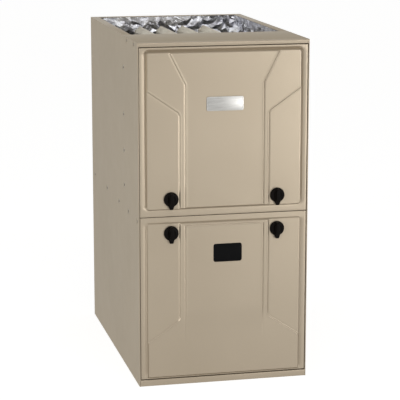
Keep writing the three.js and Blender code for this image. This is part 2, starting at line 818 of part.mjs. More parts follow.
function lowerDoor() {
  const pan = pressedDoor(lowerDoorBottom, lowerDoorTop, lowerForms,
    ...knobStemHoles(lowerKnobZ), windowOpening());
  const halfTab = switchTabWidth / 2;
  const switchTab = block(doorSwitchX - halfTab, doorSwitchX + halfTab, doorBackY - doorSheet, doorBackY,
    doorSwitchZ - halfTab, lowerDoorTop - doorSheet);
  return mesh('lower_door', join(pan, switchTab), paint);
}

// The pad lies against the inside of the door's lowest pressed level.
function lowerDoorInsulation() {
  const seat = frontY - wingHeight + doorSheet + fit;
  const pad = block(-fieldHalfWidth + padMargin / 2, fieldHalfWidth - padMargin / 2,
    seat, seat + padThickness, lowerField.bottom + padMargin, lowerField.top - padMargin / 2);
  const aroundWindow = windowWidth / 2 + windowFlange + retainerRim;
  const aroundWindowHeight = windowHeight / 2 + windowFlange + retainerRim;
  const windowCut = block(windowX - aroundWindow, windowX + aroundWindow, frontY - wingHeight, doorBackY,
    windowZ - aroundWindowHeight, windowZ + aroundWindowHeight);
  const knobCuts = [-1, 1].map((hand) => rod('y', latchBarLength / 2 + 2, frontY - wingHeight, doorBackY,
    [hand * knobX, lowerKnobZ], 16));
  return mesh('lower_door_insulation', cut(pad, windowCut, ...knobCuts), foil);
}

// The lens fills the door's cut-out and has a flange behind the sheet.
function sightWindow() {
  const outerY = frontY - panelHeight;
  const behindSheet = outerY + doorSheet + fit;
  const lensWidth = windowWidth / 2 - fit;
  const lensHeight = windowHeight / 2 - fit;
  const flangeWidth = windowWidth / 2 + windowFlange;
  const flangeHeight = windowHeight / 2 + windowFlange;
  const face = frontPlate(roundedRectangle(windowX - lensWidth, windowX + lensWidth,
    windowZ - lensHeight, windowZ + lensHeight, windowCorner), behindSheet + windowThickness,
    windowThickness + doorSheet + fit / 2);
  const flange = frontPlate(roundedRectangle(windowX - flangeWidth, windowX + flangeWidth,
    windowZ - flangeHeight, windowZ + flangeHeight, windowCorner), behindSheet + windowThickness,
    windowThickness);
  const retainerY = behindSheet + windowThickness + fit;
  const rimWidth = flangeWidth + retainerRim / 2;
  const rimHeight = flangeHeight + retainerRim / 2;
  const rim = frontPlate(roundedRectangle(windowX - rimWidth, windowX + rimWidth,
    windowZ - rimHeight, windowZ + rimHeight, windowCorner), retainerY + windowThickness, windowThickness);
  const rimHole = frontPlate(roundedRectangle(windowX - lensWidth, windowX + lensWidth,
    windowZ - lensHeight, windowZ + lensHeight, windowCorner), retainerY + 2 * windowThickness,
    3 * windowThickness);
  return [
    mesh('window_lens', join(face, flange), darkGlass),
    mesh('window_retainer', cut(rim, rimHole), blackPlastic),
  ];
}

function blankNameplate() {
  const middle = upperField.top - plateDrop;
  const shape = roundedRectangle(-plateWidth / 2, plateWidth / 2, middle - plateHeight / 2,
    middle + plateHeight / 2, plateCorner);
  const blank = frontPlate(shape, frontY - panelHeight - fit, plateThickness);
  return mesh('blank_nameplate', blank, polishedSteel);
}

// A quarter-turn knob about the Y axis at its own origin, which is the front of the sheet it turns on.
function knob(name) {
  const seat = -fit;
  const lugSeat = seat - (fieldHeight - wingHeight) - 1;
  const tip = -(knobReach - wingHeight);
  const skirt = turned('y', [
    [0, seat], [knobRadius, seat], [knobRadius, seat - knobSkirt], [knobRadius - 2.5, seat - knobSkirt - 2],
    [0, seat - knobSkirt - 2],
  ].reverse(), 20);
  const halfGrip = knobGripWidth / 2;
  const gripEnd = knobRadius - 2;
  const grip = frontPlate(polygon([
    [-halfGrip, -gripEnd], [halfGrip, -gripEnd], [halfGrip - 1.5, gripEnd], [-halfGrip + 1.5, gripEnd],
  ]), seat - knobSkirt, -tip + seat - knobSkirt);
  const lug = frontPlate(polygon([
    [-knobLugWidth, -knobRadius + 6], [-knobLugWidth / 2, -knobLugReach], [knobLugWidth / 2, -knobLugReach],
    [knobLugWidth, -knobRadius + 6],
  ]), lugSeat, knobSkirt);
  const barY = latchPlateY + sheet + fit + 1 - (frontY - wingHeight);
  const stem = rod('y', knobStemRadius, seat - 1, barY + latchBarThickness, [0, 0], 12);
  const bar = block(-latchBarLength / 2, latchBarLength / 2, barY, barY + latchBarThickness,
    -latchBarWidth / 2, latchBarWidth / 2);
  return mesh(name, join(skirt, grip, lug, stem, bar), blackPlastic);
}

// A plate behind the door joint, with a receiving hole for the bar of the knob above and the knob below.
function latchBracket(name, hand) {
  const strip = block(hand * (knobX - latchPlateHalfWidth), hand * (knobX + latchPlateHalfWidth),
    latchPlateY, latchPlateY + sheet, lowerKnobZ - latchPlateMargin, upperKnobZ + latchPlateMargin);
  const holes = [lowerKnobZ, upperKnobZ].map((z) => rod('y', latchHoleRadius,
    latchPlateY - 1, latchPlateY + sheet + 1, [hand * knobX, z], 16));
  return mesh(name, cut(strip, ...holes), galvanised);
}

function doors() {
  const group = new THREE.Group();
  group.add(upperDoor(), blankNameplate(), lowerDoor(), lowerDoorInsulation(), ...sightWindow());
  for (const [name, hand, z] of [
    ['upper_left_knob', -1, upperKnobZ], ['upper_right_knob', 1, upperKnobZ],
    ['lower_left_knob', -1, lowerKnobZ], ['lower_right_knob', 1, lowerKnobZ],
  ]) {
    group.add(placed(knob(name), hand * knobX, frontY - wingHeight, z));
  }
  group.add(latchBracket('latch_bracket_left', -1), latchBracket('latch_bracket_right', 1));
  return group;
}

// ---------------------------------------------------------------- heat exchanger

// The outline of a cell's passage, drawn in Y and Z: level passes, joined in turn at the back and in front.
function passageOutline(inset) {
  const near = cellFrontY + cellRim + inset;
  const far = cellFrontY + cellLength - cellRim - inset;
  const backNotch = near + passBendWidth - 2 * inset;
  const frontNotch = far - passBendWidth + 2 * inset;
  const backEdge = [];
  const frontEdge = [];
  let low = cellBottom + cellRim;
  passHeights.forEach((height, index) => {
    const floor = low + inset;
    const roof = low + height - inset;
    const nextFloor = low + height + passGap + inset;
    if (index === 0) {
      frontEdge.push([near, floor]);
      backEdge.push([far, floor]);
    }
    if (index === passHeights.length - 1) {
      frontEdge.push([near, roof]);
      backEdge.push([far, roof]);
    } else if (index % 2 === 0) {
      frontEdge.push([near, roof], [frontNotch, roof], [frontNotch, nextFloor], [near, nextFloor]);
    } else {
      backEdge.push([far, roof], [backNotch, roof], [backNotch, nextFloor], [far, nextFloor]);
    }
    low += height + passGap;
  });
  return roundedOutline([...backEdge, ...frontEdge.reverse()], passCorner - inset);
}

function cell(name, x) {
  const half = cellThickness / 2;
  const outside = sidePlate(passageOutline(0), x - half, cellThickness, 2);
  const inside = sidePlate(passageOutline(cellWall), x - half + cellWall, cellThickness - 2 * cellWall, 1);
  const seam = block(x - cellSeam / 2, x + cellSeam / 2, cellFrontY, cellFrontY + cellLength,
    cellBottom, cellTop);
  const mouth = vestibuleY + fit;
  const inward = cellFrontY + cellRim + passCorner / 2;
  const ports = [inletZ, outletZ].map((z) => rod('y', portRadius, mouth, inward, [x, z], 16));
  const bores = [inletZ, outletZ].map((z) => rod('y', portRadius - cellWall, mouth - 1, inward + portInset,
    [x, z], 16));
  return mesh(name, cut(join(seam, outside, ...ports), inside, ...bores), aluminised);
}

function heatExchanger() {
  const group = new THREE.Group();
  cellPositions().forEach((x, index) => group.add(cell(`heat_exchanger_cell_${index + 1}`, x)));
  group.add(collectorBox(), limitSwitch());
  return group;
}

// The box that gathers the outlets of the cells in front of the vestibule panel.
function collectorBox() {
  const back = vestibuleY - fit;
  const top = caseHeight - collectorTopDrop;
  const bottom = inducerHeight - inducerInletRadius - collectorBelowInlet;
  const flangeHalfWidth = collectorHalfWidth + collectorFlange;
  const outer = block(-collectorHalfWidth, collectorHalfWidth, collectorY, back, bottom, top);
  const inner = block(-collectorHalfWidth + sheet, collectorHalfWidth - sheet, collectorY + sheet, back + 1,
    bottom + sheet, top - sheet);
  const flange = block(-flangeHalfWidth, flangeHalfWidth, back - sheet, back,
    bottom - collectorFlange, top);
  const throat = rod('y', inducerInletRadius, collectorY - 1, collectorY + sheet + 1,
    [inducerX, inducerHeight]);
  return mesh('collector_box', cut(join(outer, flange), inner, throat), galvanised);
}

function limitSwitch() {
  const face = vestibuleY - fit;
  const place = [limitX, limitZ];
  const inDisc = face - limitDiscThickness / 2;
  const disc = rod('y', limitProbeRadius + limitDiscMargin, face - limitDiscThickness, face, place);
  const cap = rod('y', limitProbeRadius + limitCapMargin, face - limitCapDepth, inDisc, place);
  const probe = rod('y', limitProbeRadius, inDisc, face + limitProbeLength, place, 12);
  const blades = [-1, 1].map((hand) => block(limitX + hand * limitBladeInner, limitX + hand * limitBladeOuter,
    face - limitBladeDepth, face - limitCapDepth / 2,
    limitZ - limitBladeThickness / 2, limitZ + limitBladeThickness / 2));
  return mesh('limit_switch', join(disc, cap, probe, ...blades), blackPlastic);
}

// ---------------------------------------------------------------- burners and gas train

// An in-shot burner along Y: a bell that takes in gas and air, a narrow throat and a flame head.
function burner(name, x) {
  const throat = burnerRadius * 0.7;
  const outline = [
    [burnerBell, 0], [throat, burnerBellLength], [throat, burnerThroatEnd],
    [burnerRadius, burnerHeadStart], [burnerRadius, burnerLength],
  ];
  const inner = outline.map(([r, along]) => [r - burnerWall, along]).reverse();
  return placed(mesh(name, turned('y', [...outline, ...inner, outline[0]], 14), aluminised),
    x, burnerFrontY, inletZ);
}

// A cradle round the row of burners, open in front and behind.
function burnerBracket() {
  const low = inletZ - burnerBracketHeight / 2;
  const high = inletZ + burnerBracketHeight / 2;
  const cheeks = [-1, 1].map((hand) => block(hand * bracketReach, hand * (bracketReach - sheet),
    bracketFrontY, burnerBackY, low, high));
  const floor = block(-bracketReach, bracketReach, bracketFrontY, burnerBackY, low, low + sheet);
  const backFlanges = [-1, 1].map((hand) => block(hand * (bracketReach - sheet),
    hand * (bracketReach + bracketFlange), burnerBackY - sheet, burnerBackY, low, high));
  const hangerY = burnerBackY - burnerHangerSetback;
  const hanger = block(-bracketReach, bracketReach, hangerY, hangerY + sheet, low, high);
  const holes = cellPositions().map((x) => rod('y', burnerRadius + fit, hangerY - 1, hangerY + sheet + 1,
    [x, inletZ], 14));
  return mesh('burner_bracket', cut(join(floor, ...cheeks, ...backFlanges, hanger), ...holes), galvanised);
}

// The supply tube in front of the burners, with a spud for each and a strap to each cheek of the cradle.
function gasManifold() {
  const left = -bracketReach - strapReach;
  const right = valveX - valveWidth / 2 - fit;
  const pipe = rod('x', manifoldRadius, left, right, [manifoldY, inletZ], 16);
  const spuds = cellPositions().map((x) => rod('y', spudRadius, manifoldY, burnerFrontY + spudReach,
    [x, inletZ], 8));
  const elbow = rod('x', manifoldRadius + elbowWall, right - elbowLength, right, [manifoldY, inletZ], 16);
  const straps = [-1, 1].map((hand) => block(
    hand * (bracketReach - strapReach), hand * (bracketReach + strapReach),
    manifoldY, bracketFrontY - fit, inletZ - strapHeight / 2, inletZ + strapHeight / 2));
  return mesh('gas_manifold', join(pipe, elbow, ...spuds, ...straps), blackSteel);
}

function gasValve() {
  const half = valveWidth / 2;
  const top = inletZ - valveBelowPipe + valveHeight;
  const body = block(valveX - half, valveX + half, valveFrontY, valveFrontY + valveDepth,
    inletZ - valveBelowPipe, top);
  const regulator = rod('y', regulatorRadius, valveFrontY - regulatorReach, manifoldY,
    [valveX - regulatorOffset, inletZ + regulatorRise]);
  const coil = block(valveX - half + coilMargin, valveX + half - coilMargin,
    manifoldY - coilDepth / 2, manifoldY + coilDepth / 2, top - 1, top - coilMargin / 2 + coilHeight);
  const lever = [leverX, leverZ];
  const leverBoss = rod('y', leverBossRadius, valveFrontY - leverBossReach, manifoldY, lever);
  const leverBore = rod('y', leverRadius + fit, valveFrontY - leverBossReach - 1,
    valveFrontY + leverBoreDepth, lever, 16);
  return mesh('gas_valve', cut(join(body, regulator, coil, leverBoss), leverBore), castMetal);
}

// The on/off lever of the gas valve turns about the Y axis at its own origin.
function gasValveSwitch() {
  const seat = -leverBossReach - fit;
  const face = seat - leverThickness;
  const spindle = rod('y', leverRadius - fit, face + 1, face + 1 + leverSpindleLength, [0, 0], 16);
  const hub = rod('y', leverHubRadius, face, seat, [0, 0], 20);
  const half = leverWidth / 2;
  const arm = frontPlate(polygon([
    [-half, 0], [half, 0], [half * 0.6, leverLength], [-half * 0.6, leverLength],
  ]), seat, leverThickness);
  return placed(mesh('gas_valve_switch', join(spindle, hub, arm), redPlastic), leverX, valveFrontY, leverZ);
}

function gasInletPipe() {
  const start = valveX + valveWidth / 2 + fit;
  const pipe = rod('x', gasPipeRadius, start, halfWidth, [manifoldY, inletZ], 20);
  const nut = rod('x', gasPipeRadius + pipeNutWall, start, start + pipeNutLength, [manifoldY, inletZ], 6);
  const bore = rod('x', gasPipeRadius - gasPipeWall, start - 1, halfWidth + 1, [manifoldY, inletZ], 16);
  return mesh('gas_inlet_pipe', cut(join(pipe, nut), bore), blackSteel);
}

// The igniter and the flame sensor hang from the vestibule panel, over the two ends of the cradle.
function igniter() {
  const x = cellPositions()[cellCount - 1] + sparkOffset;
  const y = burnerBackY - igniterStandoff;
  const half = igniterWidth / 2;
  const high = sparkBottom + igniterHeight;
  const halfFoot = igniterFootWidth / 2;
  const halfElement = igniterElementWidth / 2;
  const holder = block(x - half, x + half, y - igniterDepth * 2 / 3, y + igniterDepth / 3, sparkBottom, high);
  const foot = block(x - halfFoot, x + halfFoot, burnerBackY - footThickness, burnerBackY,
    sparkBottom, sparkBottom + igniterFootHeight);
  const web = block(x - half, x + half, y, burnerBackY, sparkBottom + webHeight, sparkBottom + 2 * webHeight);
  const element = block(x - halfElement, x + halfElement, y - igniterElementThickness - 1, y - 1,
    inletZ - igniterElementDrop, sparkBottom + webHeight);
  return mesh('igniter', join(holder, foot, web, element), ceramic);
}

function flameSensor() {
  const x = cellPositions()[0] - sparkOffset;
  const y = burnerBackY - igniterStandoff + footThickness;
  const high = sparkBottom + sensorHeight;
  const halfFoot = sensorFootWidth / 2;
  const halfWeb = sensorRadius * 0.6;
  const body = rod('z', sensorRadius, sparkBottom, high, [x, y], 12);
  const wire = rod('z', sensorWireRadius, inletZ - sensorWireDrop, high, [x, y], 8);
  const foot = block(x - halfFoot, x + halfFoot, burnerBackY - footThickness, burnerBackY,
    sparkBottom, sparkBottom + sensorFootHeight);
  const web = block(x - halfWeb, x + halfWeb, y, burnerBackY, sparkBottom + webHeight,
    sparkBottom + 2 * webHeight);
  return mesh('flame_sensor', join(body, wire, foot, web), ceramic);
}

// The switch sits on the outside of the bracket's left cheek.
function rolloutPlace() {
  return { x: -bracketReach - fit, y: burnerFrontY + burnerLength / 2, z: inletZ };
}

function rolloutSwitch() {
  const { x, y, z } = rolloutPlace();
  const bossEnd = x - rolloutWidth - rolloutBossReach;
  const body = block(x - rolloutWidth, x, y - rolloutDepth / 2, y + rolloutDepth / 2,
    z - rolloutHeight / 2, z + rolloutHeight / 2);
  const boss = rod('x', rolloutBossRadius, bossEnd, x - rolloutWidth + 1, [y, z], 16);
  const bore = rod('x', rolloutButtonRadius + fit, bossEnd - 1, x - rolloutButtonDepth, [y, z], 16);
  return mesh('rollout_switch', cut(join(body, boss), bore), blackPlastic);
}

// The button stands proud of the boss and has room behind it for its travel.
function rolloutResetButton() {
  const { x, y, z } = rolloutPlace();
  const tip = -rolloutWidth - rolloutBossReach - rolloutButtonTravel - rolloutButtonProud;
  const root = -rolloutButtonDepth - fit - rolloutButtonTravel;
  const button = rod('x', rolloutButtonRadius, tip, root, [0, 0], 16);
  return placed(mesh('rollout_reset_button', button, redPlastic), x, y, z);
}

function burnerSection() {
  const group = new THREE.Group();
  cellPositions().forEach((x, index) => group.add(burner(`burner_${index + 1}`, x)));
  group.add(burnerBracket(), gasManifold(), gasValve(), gasValveSwitch(), gasInletPipe(),
    igniter(), flameSensor(), rolloutSwitch(), rolloutResetButton());
  return group;
}

// ---------------------------------------------------------------- scroll housings and wheels

// A scroll about the origin, seen in the blower's own view: it starts at the cutoff, winds clockwise with a
// growing radius and ends on the left, where it runs on upwards into the outlet.
function scrollPoints(startRadius, endRadius, cutoffAngle, outletTop, inset) {
  const points = [];
  const steps = 14;
  const sweep = 180 + cutoffAngle;
  for (let step = 0; step <= steps; step += 1) {
    const angle = radians(cutoffAngle - sweep * step / steps);
    const radius = startRadius + (endRadius - startRadius) * step / steps - inset;
    points.push([radius * Math.cos(angle), radius * Math.sin(angle)]);
  }
  points.push([-endRadius + inset, outletTop], [points[0][0], outletTop]);
  return points;
}

function cutoffReach() {
  return blowerStartRadius * Math.cos(radians(blowerCutoffAngle));
}

// The cage of the blower wheel along the X axis of its own origin: curved blades with a ring at each end.
function blowerWheel() {
  const half = wheelWidth / 2;
  const ring = (from, to) => cut(rod('x', wheelRadius, from, to, [0, 0], bladeCount),
    rod('x', wheelRadius - wheelRingDepth, from - 1, to + 1, [0, 0], bladeCount));
  const thin = bladeThickness / wheelRadius;
  const tip = wheelRadius - 1;
  const blades = Array.from({ length: bladeCount }, (_, index) => {
    const turn = 2 * Math.PI * index / bladeCount;
    const at = (radius, lead) => [radius * Math.cos(turn + lead), radius * Math.sin(turn + lead)];
    const outline = [at(wheelInnerRadius, 0), at(tip, bladeLead), at(tip, bladeLead + thin),
      at(wheelInnerRadius, thin)];
    return sidePlate(polygon(outline), 1 - half, wheelWidth - 2);
  });
  const cage = join(ring(-half, wheelRingWidth - half), ring(half - wheelRingWidth, half), ...blades);
  return placed(mesh('blower_wheel', cage, galvanised), 0, blowerY, blowerHeight);
}

// The middle disc that carries the blades, and the hub that sits on the shaft.
function blowerHub() {
  const reach = hubLength / 2;
  const disc = rod('x', wheelInnerRadius - fit, -wheelDiscThickness / 2, wheelDiscThickness / 2, [0, 0], 32);
  const hub = rod('x', hubRadius, -reach, reach, [0, 0], 20);
  const bore = rod('x', shaftRadius + fit, -reach - 1, reach + 1, [0, 0], 16);
  return placed(mesh('blower_hub', cut(join(disc, hub), bore), galvanised), 0, blowerY, blowerHeight);
}

// The outline of the blower's scroll in its place, up to the height top and drawn in by inset.
function blowerOutline(top, inset) {
  const points = scrollPoints(blowerStartRadius, blowerEndRadius, blowerCutoffAngle,
    top - blowerHeight, inset);
  return polygon(points.map(([u, v]) => [blowerY + u, blowerHeight + v]));
}

// The sheet that winds round the wheel and runs up to the shelf.
function blowerScroll() {
  const top = shelfHeight - fit;
  const half = blowerWidth / 2 - sheet - fit;
  const outer = sidePlate(blowerOutline(top, 0), -half, 2 * half);
  const inner = sidePlate(blowerOutline(top + 1, sheet), -half - 1, 2 * half + 2);
  return mesh('blower_scroll', cut(outer, inner), galvanised);
}

// A side of the blower housing, with the collar of its inlet and a flange under the shelf.
function blowerSide(name, hand) {
  const half = blowerWidth / 2;
  const top = shelfHeight - fit;
  const across = [blowerY, blowerHeight];
  const wall = sidePlate(blowerOutline(top, 0), hand < 0 ? -half : half - sheet, sheet);
  const flange = block(hand * (half - sheet), hand * (half + blowerFlange),
    blowerY - blowerEndRadius, blowerY + cutoffReach(), top - sheet, top);
  const collar = rod('x', inletRadius + inletCollarWall, hand * (half - sheet), hand * (half + inletCollar),
    across, 28);
  const inlet = rod('x', inletRadius, hand * (half - 2 * sheet), hand * (half + inletCollar + 1), across, 28);
  return mesh(name, cut(join(wall, flange, collar), inlet), galvanised);
}

function blowerMotor() {
  const start = motorFaceX - motorLength;
  const endRadius = motorRadius * motorEndRatio;
  const shell = turned('x', [
    [0, start], [endRadius, start], [motorRadius, start + motorShoulder],
    [motorRadius, motorFaceX - motorShoulder], [endRadius, motorFaceX], [0, motorFaceX],
  ], 24);
  const bore = rod('x', shaftRadius + fit, motorFaceX - motorBoreDepth, motorFaceX + 1, [0, 0], 16);
  return placed(mesh('blower_motor', cut(shell, bore), motorPaint), 0, blowerY, blowerHeight);
}

function blowerShaft() {
  const start = motorFaceX - motorBoreDepth + shaftEndGap;
  return placed(mesh('blower_shaft', rod('x', shaftRadius, start, shaftBeyondHub, [0, 0], 16), polishedSteel),
    0, blowerY, blowerHeight);
}

// A band round the motor with three arms whose feet stand on the housing's side.
function motorMount() {
  const bandRadius = motorRadius + fit;
  const bandOuter = bandRadius + mountBandWall;
  const middle = motorFaceX - motorLength / 2 - mountBandOffset;
  const halfBand = mountBandWidth / 2;
  const band = cut(rod('x', bandOuter, middle - halfBand, middle + halfBand, [0, 0], 24),
    rod('x', bandRadius, middle - halfBand - 1, middle + halfBand + 1, [0, 0], 24));
  const housingSide = -blowerWidth / 2 - fit;
  const armX = housingSide - inletCollar - mountArmThickness;
  const halfArm = mountArmWidth / 2;
  const footRadius = inletRadius + mountFootMargin;
  const bar = block(armX - mountArmThickness, armX, -halfArm, halfArm,
    bandRadius + 1, footRadius + mountArmWidth);
  const foot = block(armX - mountArmThickness, housingSide, -halfArm, halfArm,
    footRadius, footRadius + mountArmWidth);
  const reach = block(armX - mountArmThickness, middle + halfBand, -halfArm, halfArm,
    bandRadius + 1, bandOuter);
  const arm = join(bar, foot, reach);
  const arms = [0, 120, 240].map((degrees) => arm.rotate([degrees, 0, 0]));
  return placed(mesh('motor_mount', join(band, ...arms), blackSteel), 0, blowerY, blowerHeight);
}

// The can of the capacitor is strapped to the right side of the housing's outlet.
function runCapacitor() {
  const side = blowerWidth / 2 + fit;
  const x = side + strapThickness + capacitorRadius;
  const y = blowerY - blowerEndRadius + capacitorRadius + strapTab;
  const low = shelfHeight - capacitorDrop;
  const strapLow = low + capacitorHeight / 2 - strapWidth / 2;
  const strapHigh = strapLow + strapWidth;
  const can = rod('z', capacitorRadius, low, low + capacitorHeight, [x, y], 20);
  const strap = rod('z', capacitorRadius + strapThickness, strapLow, strapHigh, [x, y], 20);
  const tabReach = capacitorRadius + strapTab;
  const tabs = block(side, side + strapThickness, y - tabReach, y + tabReach, strapLow, strapHigh);
  const cheeks = block(side, x, y - capacitorRadius - strapThickness, y + capacitorRadius + strapThickness,
    strapLow, strapHigh);
  const terminals = [-0.5, 0.5].map((shift) => {
    const middle = y + shift * terminalSpacing;
    return block(x - terminalWidth / 2, x + terminalWidth / 2,
      middle - terminalThickness / 2, middle + terminalThickness / 2,
      low + capacitorHeight - 1, low + capacitorHeight + terminalHeight);
  });
  return mesh('run_capacitor', join(can, strap, tabs, cheeks, ...terminals), castMetal);
}

function blower() {
  const group = new THREE.Group();
  group.add(blowerScroll(), blowerSide('blower_side_left', -1), blowerSide('blower_side_right', 1),
    blowerWheel(), blowerHub(), blowerShaft(), blowerMotor(), motorMount(), runCapacitor());
  return group;
}

// ---------------------------------------------------------------- draft inducer and vent

// The inducer's scroll is the same form turned a quarter, so that it ends on top and runs out to the right.
function inducerHousing() {
  const turn = ([u, v]) => [inducerX + v, inducerHeight - u];
  const shape = (inset, duct) => polygon(scrollPoints(inducerStartRadius, inducerEndRadius,
    inducerCutoffAngle, duct, inset).map(turn));
  const outer = frontPlate(shape(0, inducerDuctLength), inducerBackY, inducerDepth);
  const inner = frontPlate(shape(sheet, inducerDuctLength + 1), inducerBackY - sheet,
    inducerDepth - 2 * sheet);
  const inlet = rod('y', inducerInletRadius, inducerBackY - 2 * sheet, inducerBackY + 1,
    [inducerX, inducerHeight]);
  const shaftHole = rod('y', shaftRadius + fit, inducerFrontY - 1, inducerFrontY + 2 * sheet,
    [inducerX, inducerHeight], 16);
  const tap = rod('x', tubeRadius - 1, tapX, inducerX - inducerStartRadius, [inducerMidY, tapZ], 10);
  return mesh('inducer_housing', cut(join(outer, tap), inner, inlet, shaftHole), blackSteel);
}

// The inducer wheel turns about the Y axis at its own origin; its hub reaches forward into the motor.
function inducerWheel() {
  const half = inducerWheelWidth / 2;
  const disc = rod('y', inducerWheelRadius, -half, -half + inducerWheelDisc, [0, 0], 28);
  const hub = rod('y', inducerHubRadius, -half, half - inducerHubSetback, [0, 0], 16);
  const shaftStart = inducerFrontY - inducerMidY - inducerShaftReach;
  const shaft = rod('y', shaftRadius, shaftStart, half - inducerHubSetback - 1, [0, 0], 16);
  const blades = Array.from({ length: inducerBlades }, (_, index) => {
    const turn = 2 * Math.PI * index / inducerBlades;
    const at = (radius, lead) => [radius * Math.cos(turn + lead), radius * Math.sin(turn + lead)];
    const end = inducerWheelRadius - 1;
    const outline = [at(inducerBladeRoot, 0), at(end, -inducerBladeSweep),
      at(end, inducerBladeTip - inducerBladeSweep), at(inducerBladeRoot, inducerBladeLead)];
    return frontPlate(polygon(outline), half, inducerWheelWidth - 1);
  });
  return placed(mesh('inducer_wheel', join(disc, hub, shaft, ...blades), blackSteel),
    inducerX, inducerMidY, inducerHeight);
}

function inducerMotor() {
  const back = inducerFrontY - fit;
  const start = back - inducerMotorLength;
  const footRadius = inducerMotorRadius + inducerMotorFoot;
  const can = turned('y', [
    [0, start], [inducerMotorRadius * 0.6, start],
    [inducerMotorRadius * 0.9, start + inducerMotorCrown], [inducerMotorRadius, back - inducerMotorShoulder],
    [inducerMotorRadius, back - inducerMotorFootDepth], [footRadius, back - inducerMotorFootDepth + 1],
    [footRadius, back], [0, back],
  ], 22);
  const bore = rod('y', shaftRadius + fit, back - inducerShaftReach - spudReach, back + 1, [0, 0], 16);
  return placed(mesh('inducer_motor', cut(can, bore), motorPaint), inducerX, 0, inducerHeight);
}

function ventPipe() {
  const start = inducerX + inducerDuctLength + fit;
  const plateHalf = ventRadius + ventPlateMargin;
  const mouthHalf = inducerDepth / 2 - 2 * sheet;
  const flange = block(start, start + sheet, inducerMidY - plateHalf, inducerMidY + plateHalf,
    ventZ - plateHalf, ventZ + plateHalf);
  const pipe = rod('x', ventRadius + ventWall, start, halfWidth, [inducerMidY, ventZ], 24);
  const bore = rod('x', ventRadius, start + sheet, halfWidth + 1, [inducerMidY, ventZ], 24);
  const mouth = block(start - 1, start + 2 * sheet, inducerMidY - mouthHalf, inducerMidY + mouthHalf,
    ventZ - ventRadius + ventMouthMargin, ventZ + ventRadius - ventMouthMargin);
  return mesh('vent_pipe', cut(join(flange, pipe), bore, mouth), galvanised);
}

function pressureSwitch() {
  const back = vestibuleY - fit;
  const halfWide = pressureBracketWidth / 2;
  const halfHigh = pressureBracketHeight / 2;
  const seat = back - sheet;
  const bracket = block(pressureSwitchX - halfWide, pressureSwitchX + halfWide, seat, back,
    pressureSwitchZ - halfHigh, pressureSwitchZ + halfHigh);
  const disc = turned('y', [
    [0, back - pressureSwitchDepth], [pressureSwitchRadius * 0.5, back - pressureSwitchDepth],
    [pressureSwitchRadius * 0.6, back - pressureSwitchCrown],
    [pressureSwitchRadius, back - pressureSwitchRim],
    [pressureSwitchRadius, seat - 1], [0, seat - 1],
  ], 20);
  const post = rod('y', pressureSwitchPost, seat - 2, back - sheet / 2, [0, 0], 12);
  const port = rod('z', tubeRadius - 1, 0, pressurePortTop, [0, back - pressurePortSetback], 10);
  const round = join(disc, post, port).translate([pressureSwitchX, 0, pressureSwitchZ]);
  return mesh('pressure_switch', join(bracket, round), castMetal);
}

// The tube leaves the switch upwards and bends over to the tap on the left of the inducer housing.
function pressureTube() {
  const start = new THREE.Vector3(pressureSwitchX, vestibuleY - fit - pressurePortSetback,
    pressureSwitchZ + pressurePortTop + fit);
  const end = new THREE.Vector3(tapX - fit, inducerMidY, tapZ);
  const rising = start.clone().add(new THREE.Vector3(0, 0, tubeBend));
  const arriving = end.clone().sub(new THREE.Vector3(tubeBend, 0, 0));
  const route = new THREE.CubicBezierCurve3(start, rising, arriving, end);
  const section = new THREE.Shape().absarc(0, 0, tubeRadius, 0, 2 * Math.PI);
  const geometry = new THREE.ExtrudeGeometry(section, { steps: 14, curveSegments: 4, extrudePath: route });
  return mesh('pressure_tube', solidOf(geometry), rubber);
}

function inducerSection() {
  const group = new THREE.Group();
  group.add(inducerHousing(), inducerWheel(), inducerMotor(), ventPipe(), pressureSwitch(), pressureTube());
  return group;
}

// ---------------------------------------------------------------- controls

function controlPanel() {
  const half = controlPanelWidth / 2;
  const top = shelfHeight - fit;
  const face = block(-half, half, controlY, controlY + sheet, controlPanelBottom, top);
  const flange = block(-half, half, controlY, controlY + controlFlange, top - sheet, top);
  const stiffeners = [-1, 1].map((hand) => block(hand * half, hand * (half - sheet),
    controlY, controlY + controlStiffener, controlPanelBottom, top));
  return mesh('control_panel', join(face, flange, ...stiffeners), galvanised);
}

function controlBoard() {
  const x0 = windowX - boardLeftOfWindow;
  const x1 = x0 + boardWidth;
  const z0 = windowZ - boardHeight / 2;
  const z1 = z0 + boardHeight;
  const back = controlY - fit;
  const boardY = back - boardStandoff;
  const inBoard = boardY - boardThickness / 2;
  const sheetOfBoard = block(x0, x1, boardY - boardThickness, boardY, z0, z1);
  const posts = [x0 + boardPostInset, x1 - boardPostInset].flatMap((x) => (
    [z0 + boardPostInset, z1 - boardPostInset].map((z) => (
      rod('y', boardPostRadius, inBoard, back, [x, z], 8)))));
  const relays = Array.from({ length: relayCount }, (_, index) => {
    const left = x0 + relayInset + relayPitch * index;
    return block(left, left + relayWidth, boardY - relayDepth, inBoard, z0 + relayRise,
      z0 + relayRise + relayHeight);
  });
  const stripLeft = x0 + terminalStripStart;
  const stripTop = z1 - terminalStripDrop;
  const terminals = block(stripLeft, stripLeft + terminalStripLength, boardY - terminalStripDepth, inBoard,
    stripTop - terminalStripHeight, stripTop);
  const plugRight = x1 - boardPlugInset;
  const plug = block(plugRight - boardPlugWidth, plugRight, boardY - boardPlugDepth, inBoard,
    z0 + boardPlugRise, z0 + boardPlugRise + boardPlugHeight);
  return mesh('control_board', join(sheetOfBoard, ...posts, ...relays, terminals, plug), circuitGreen);
}

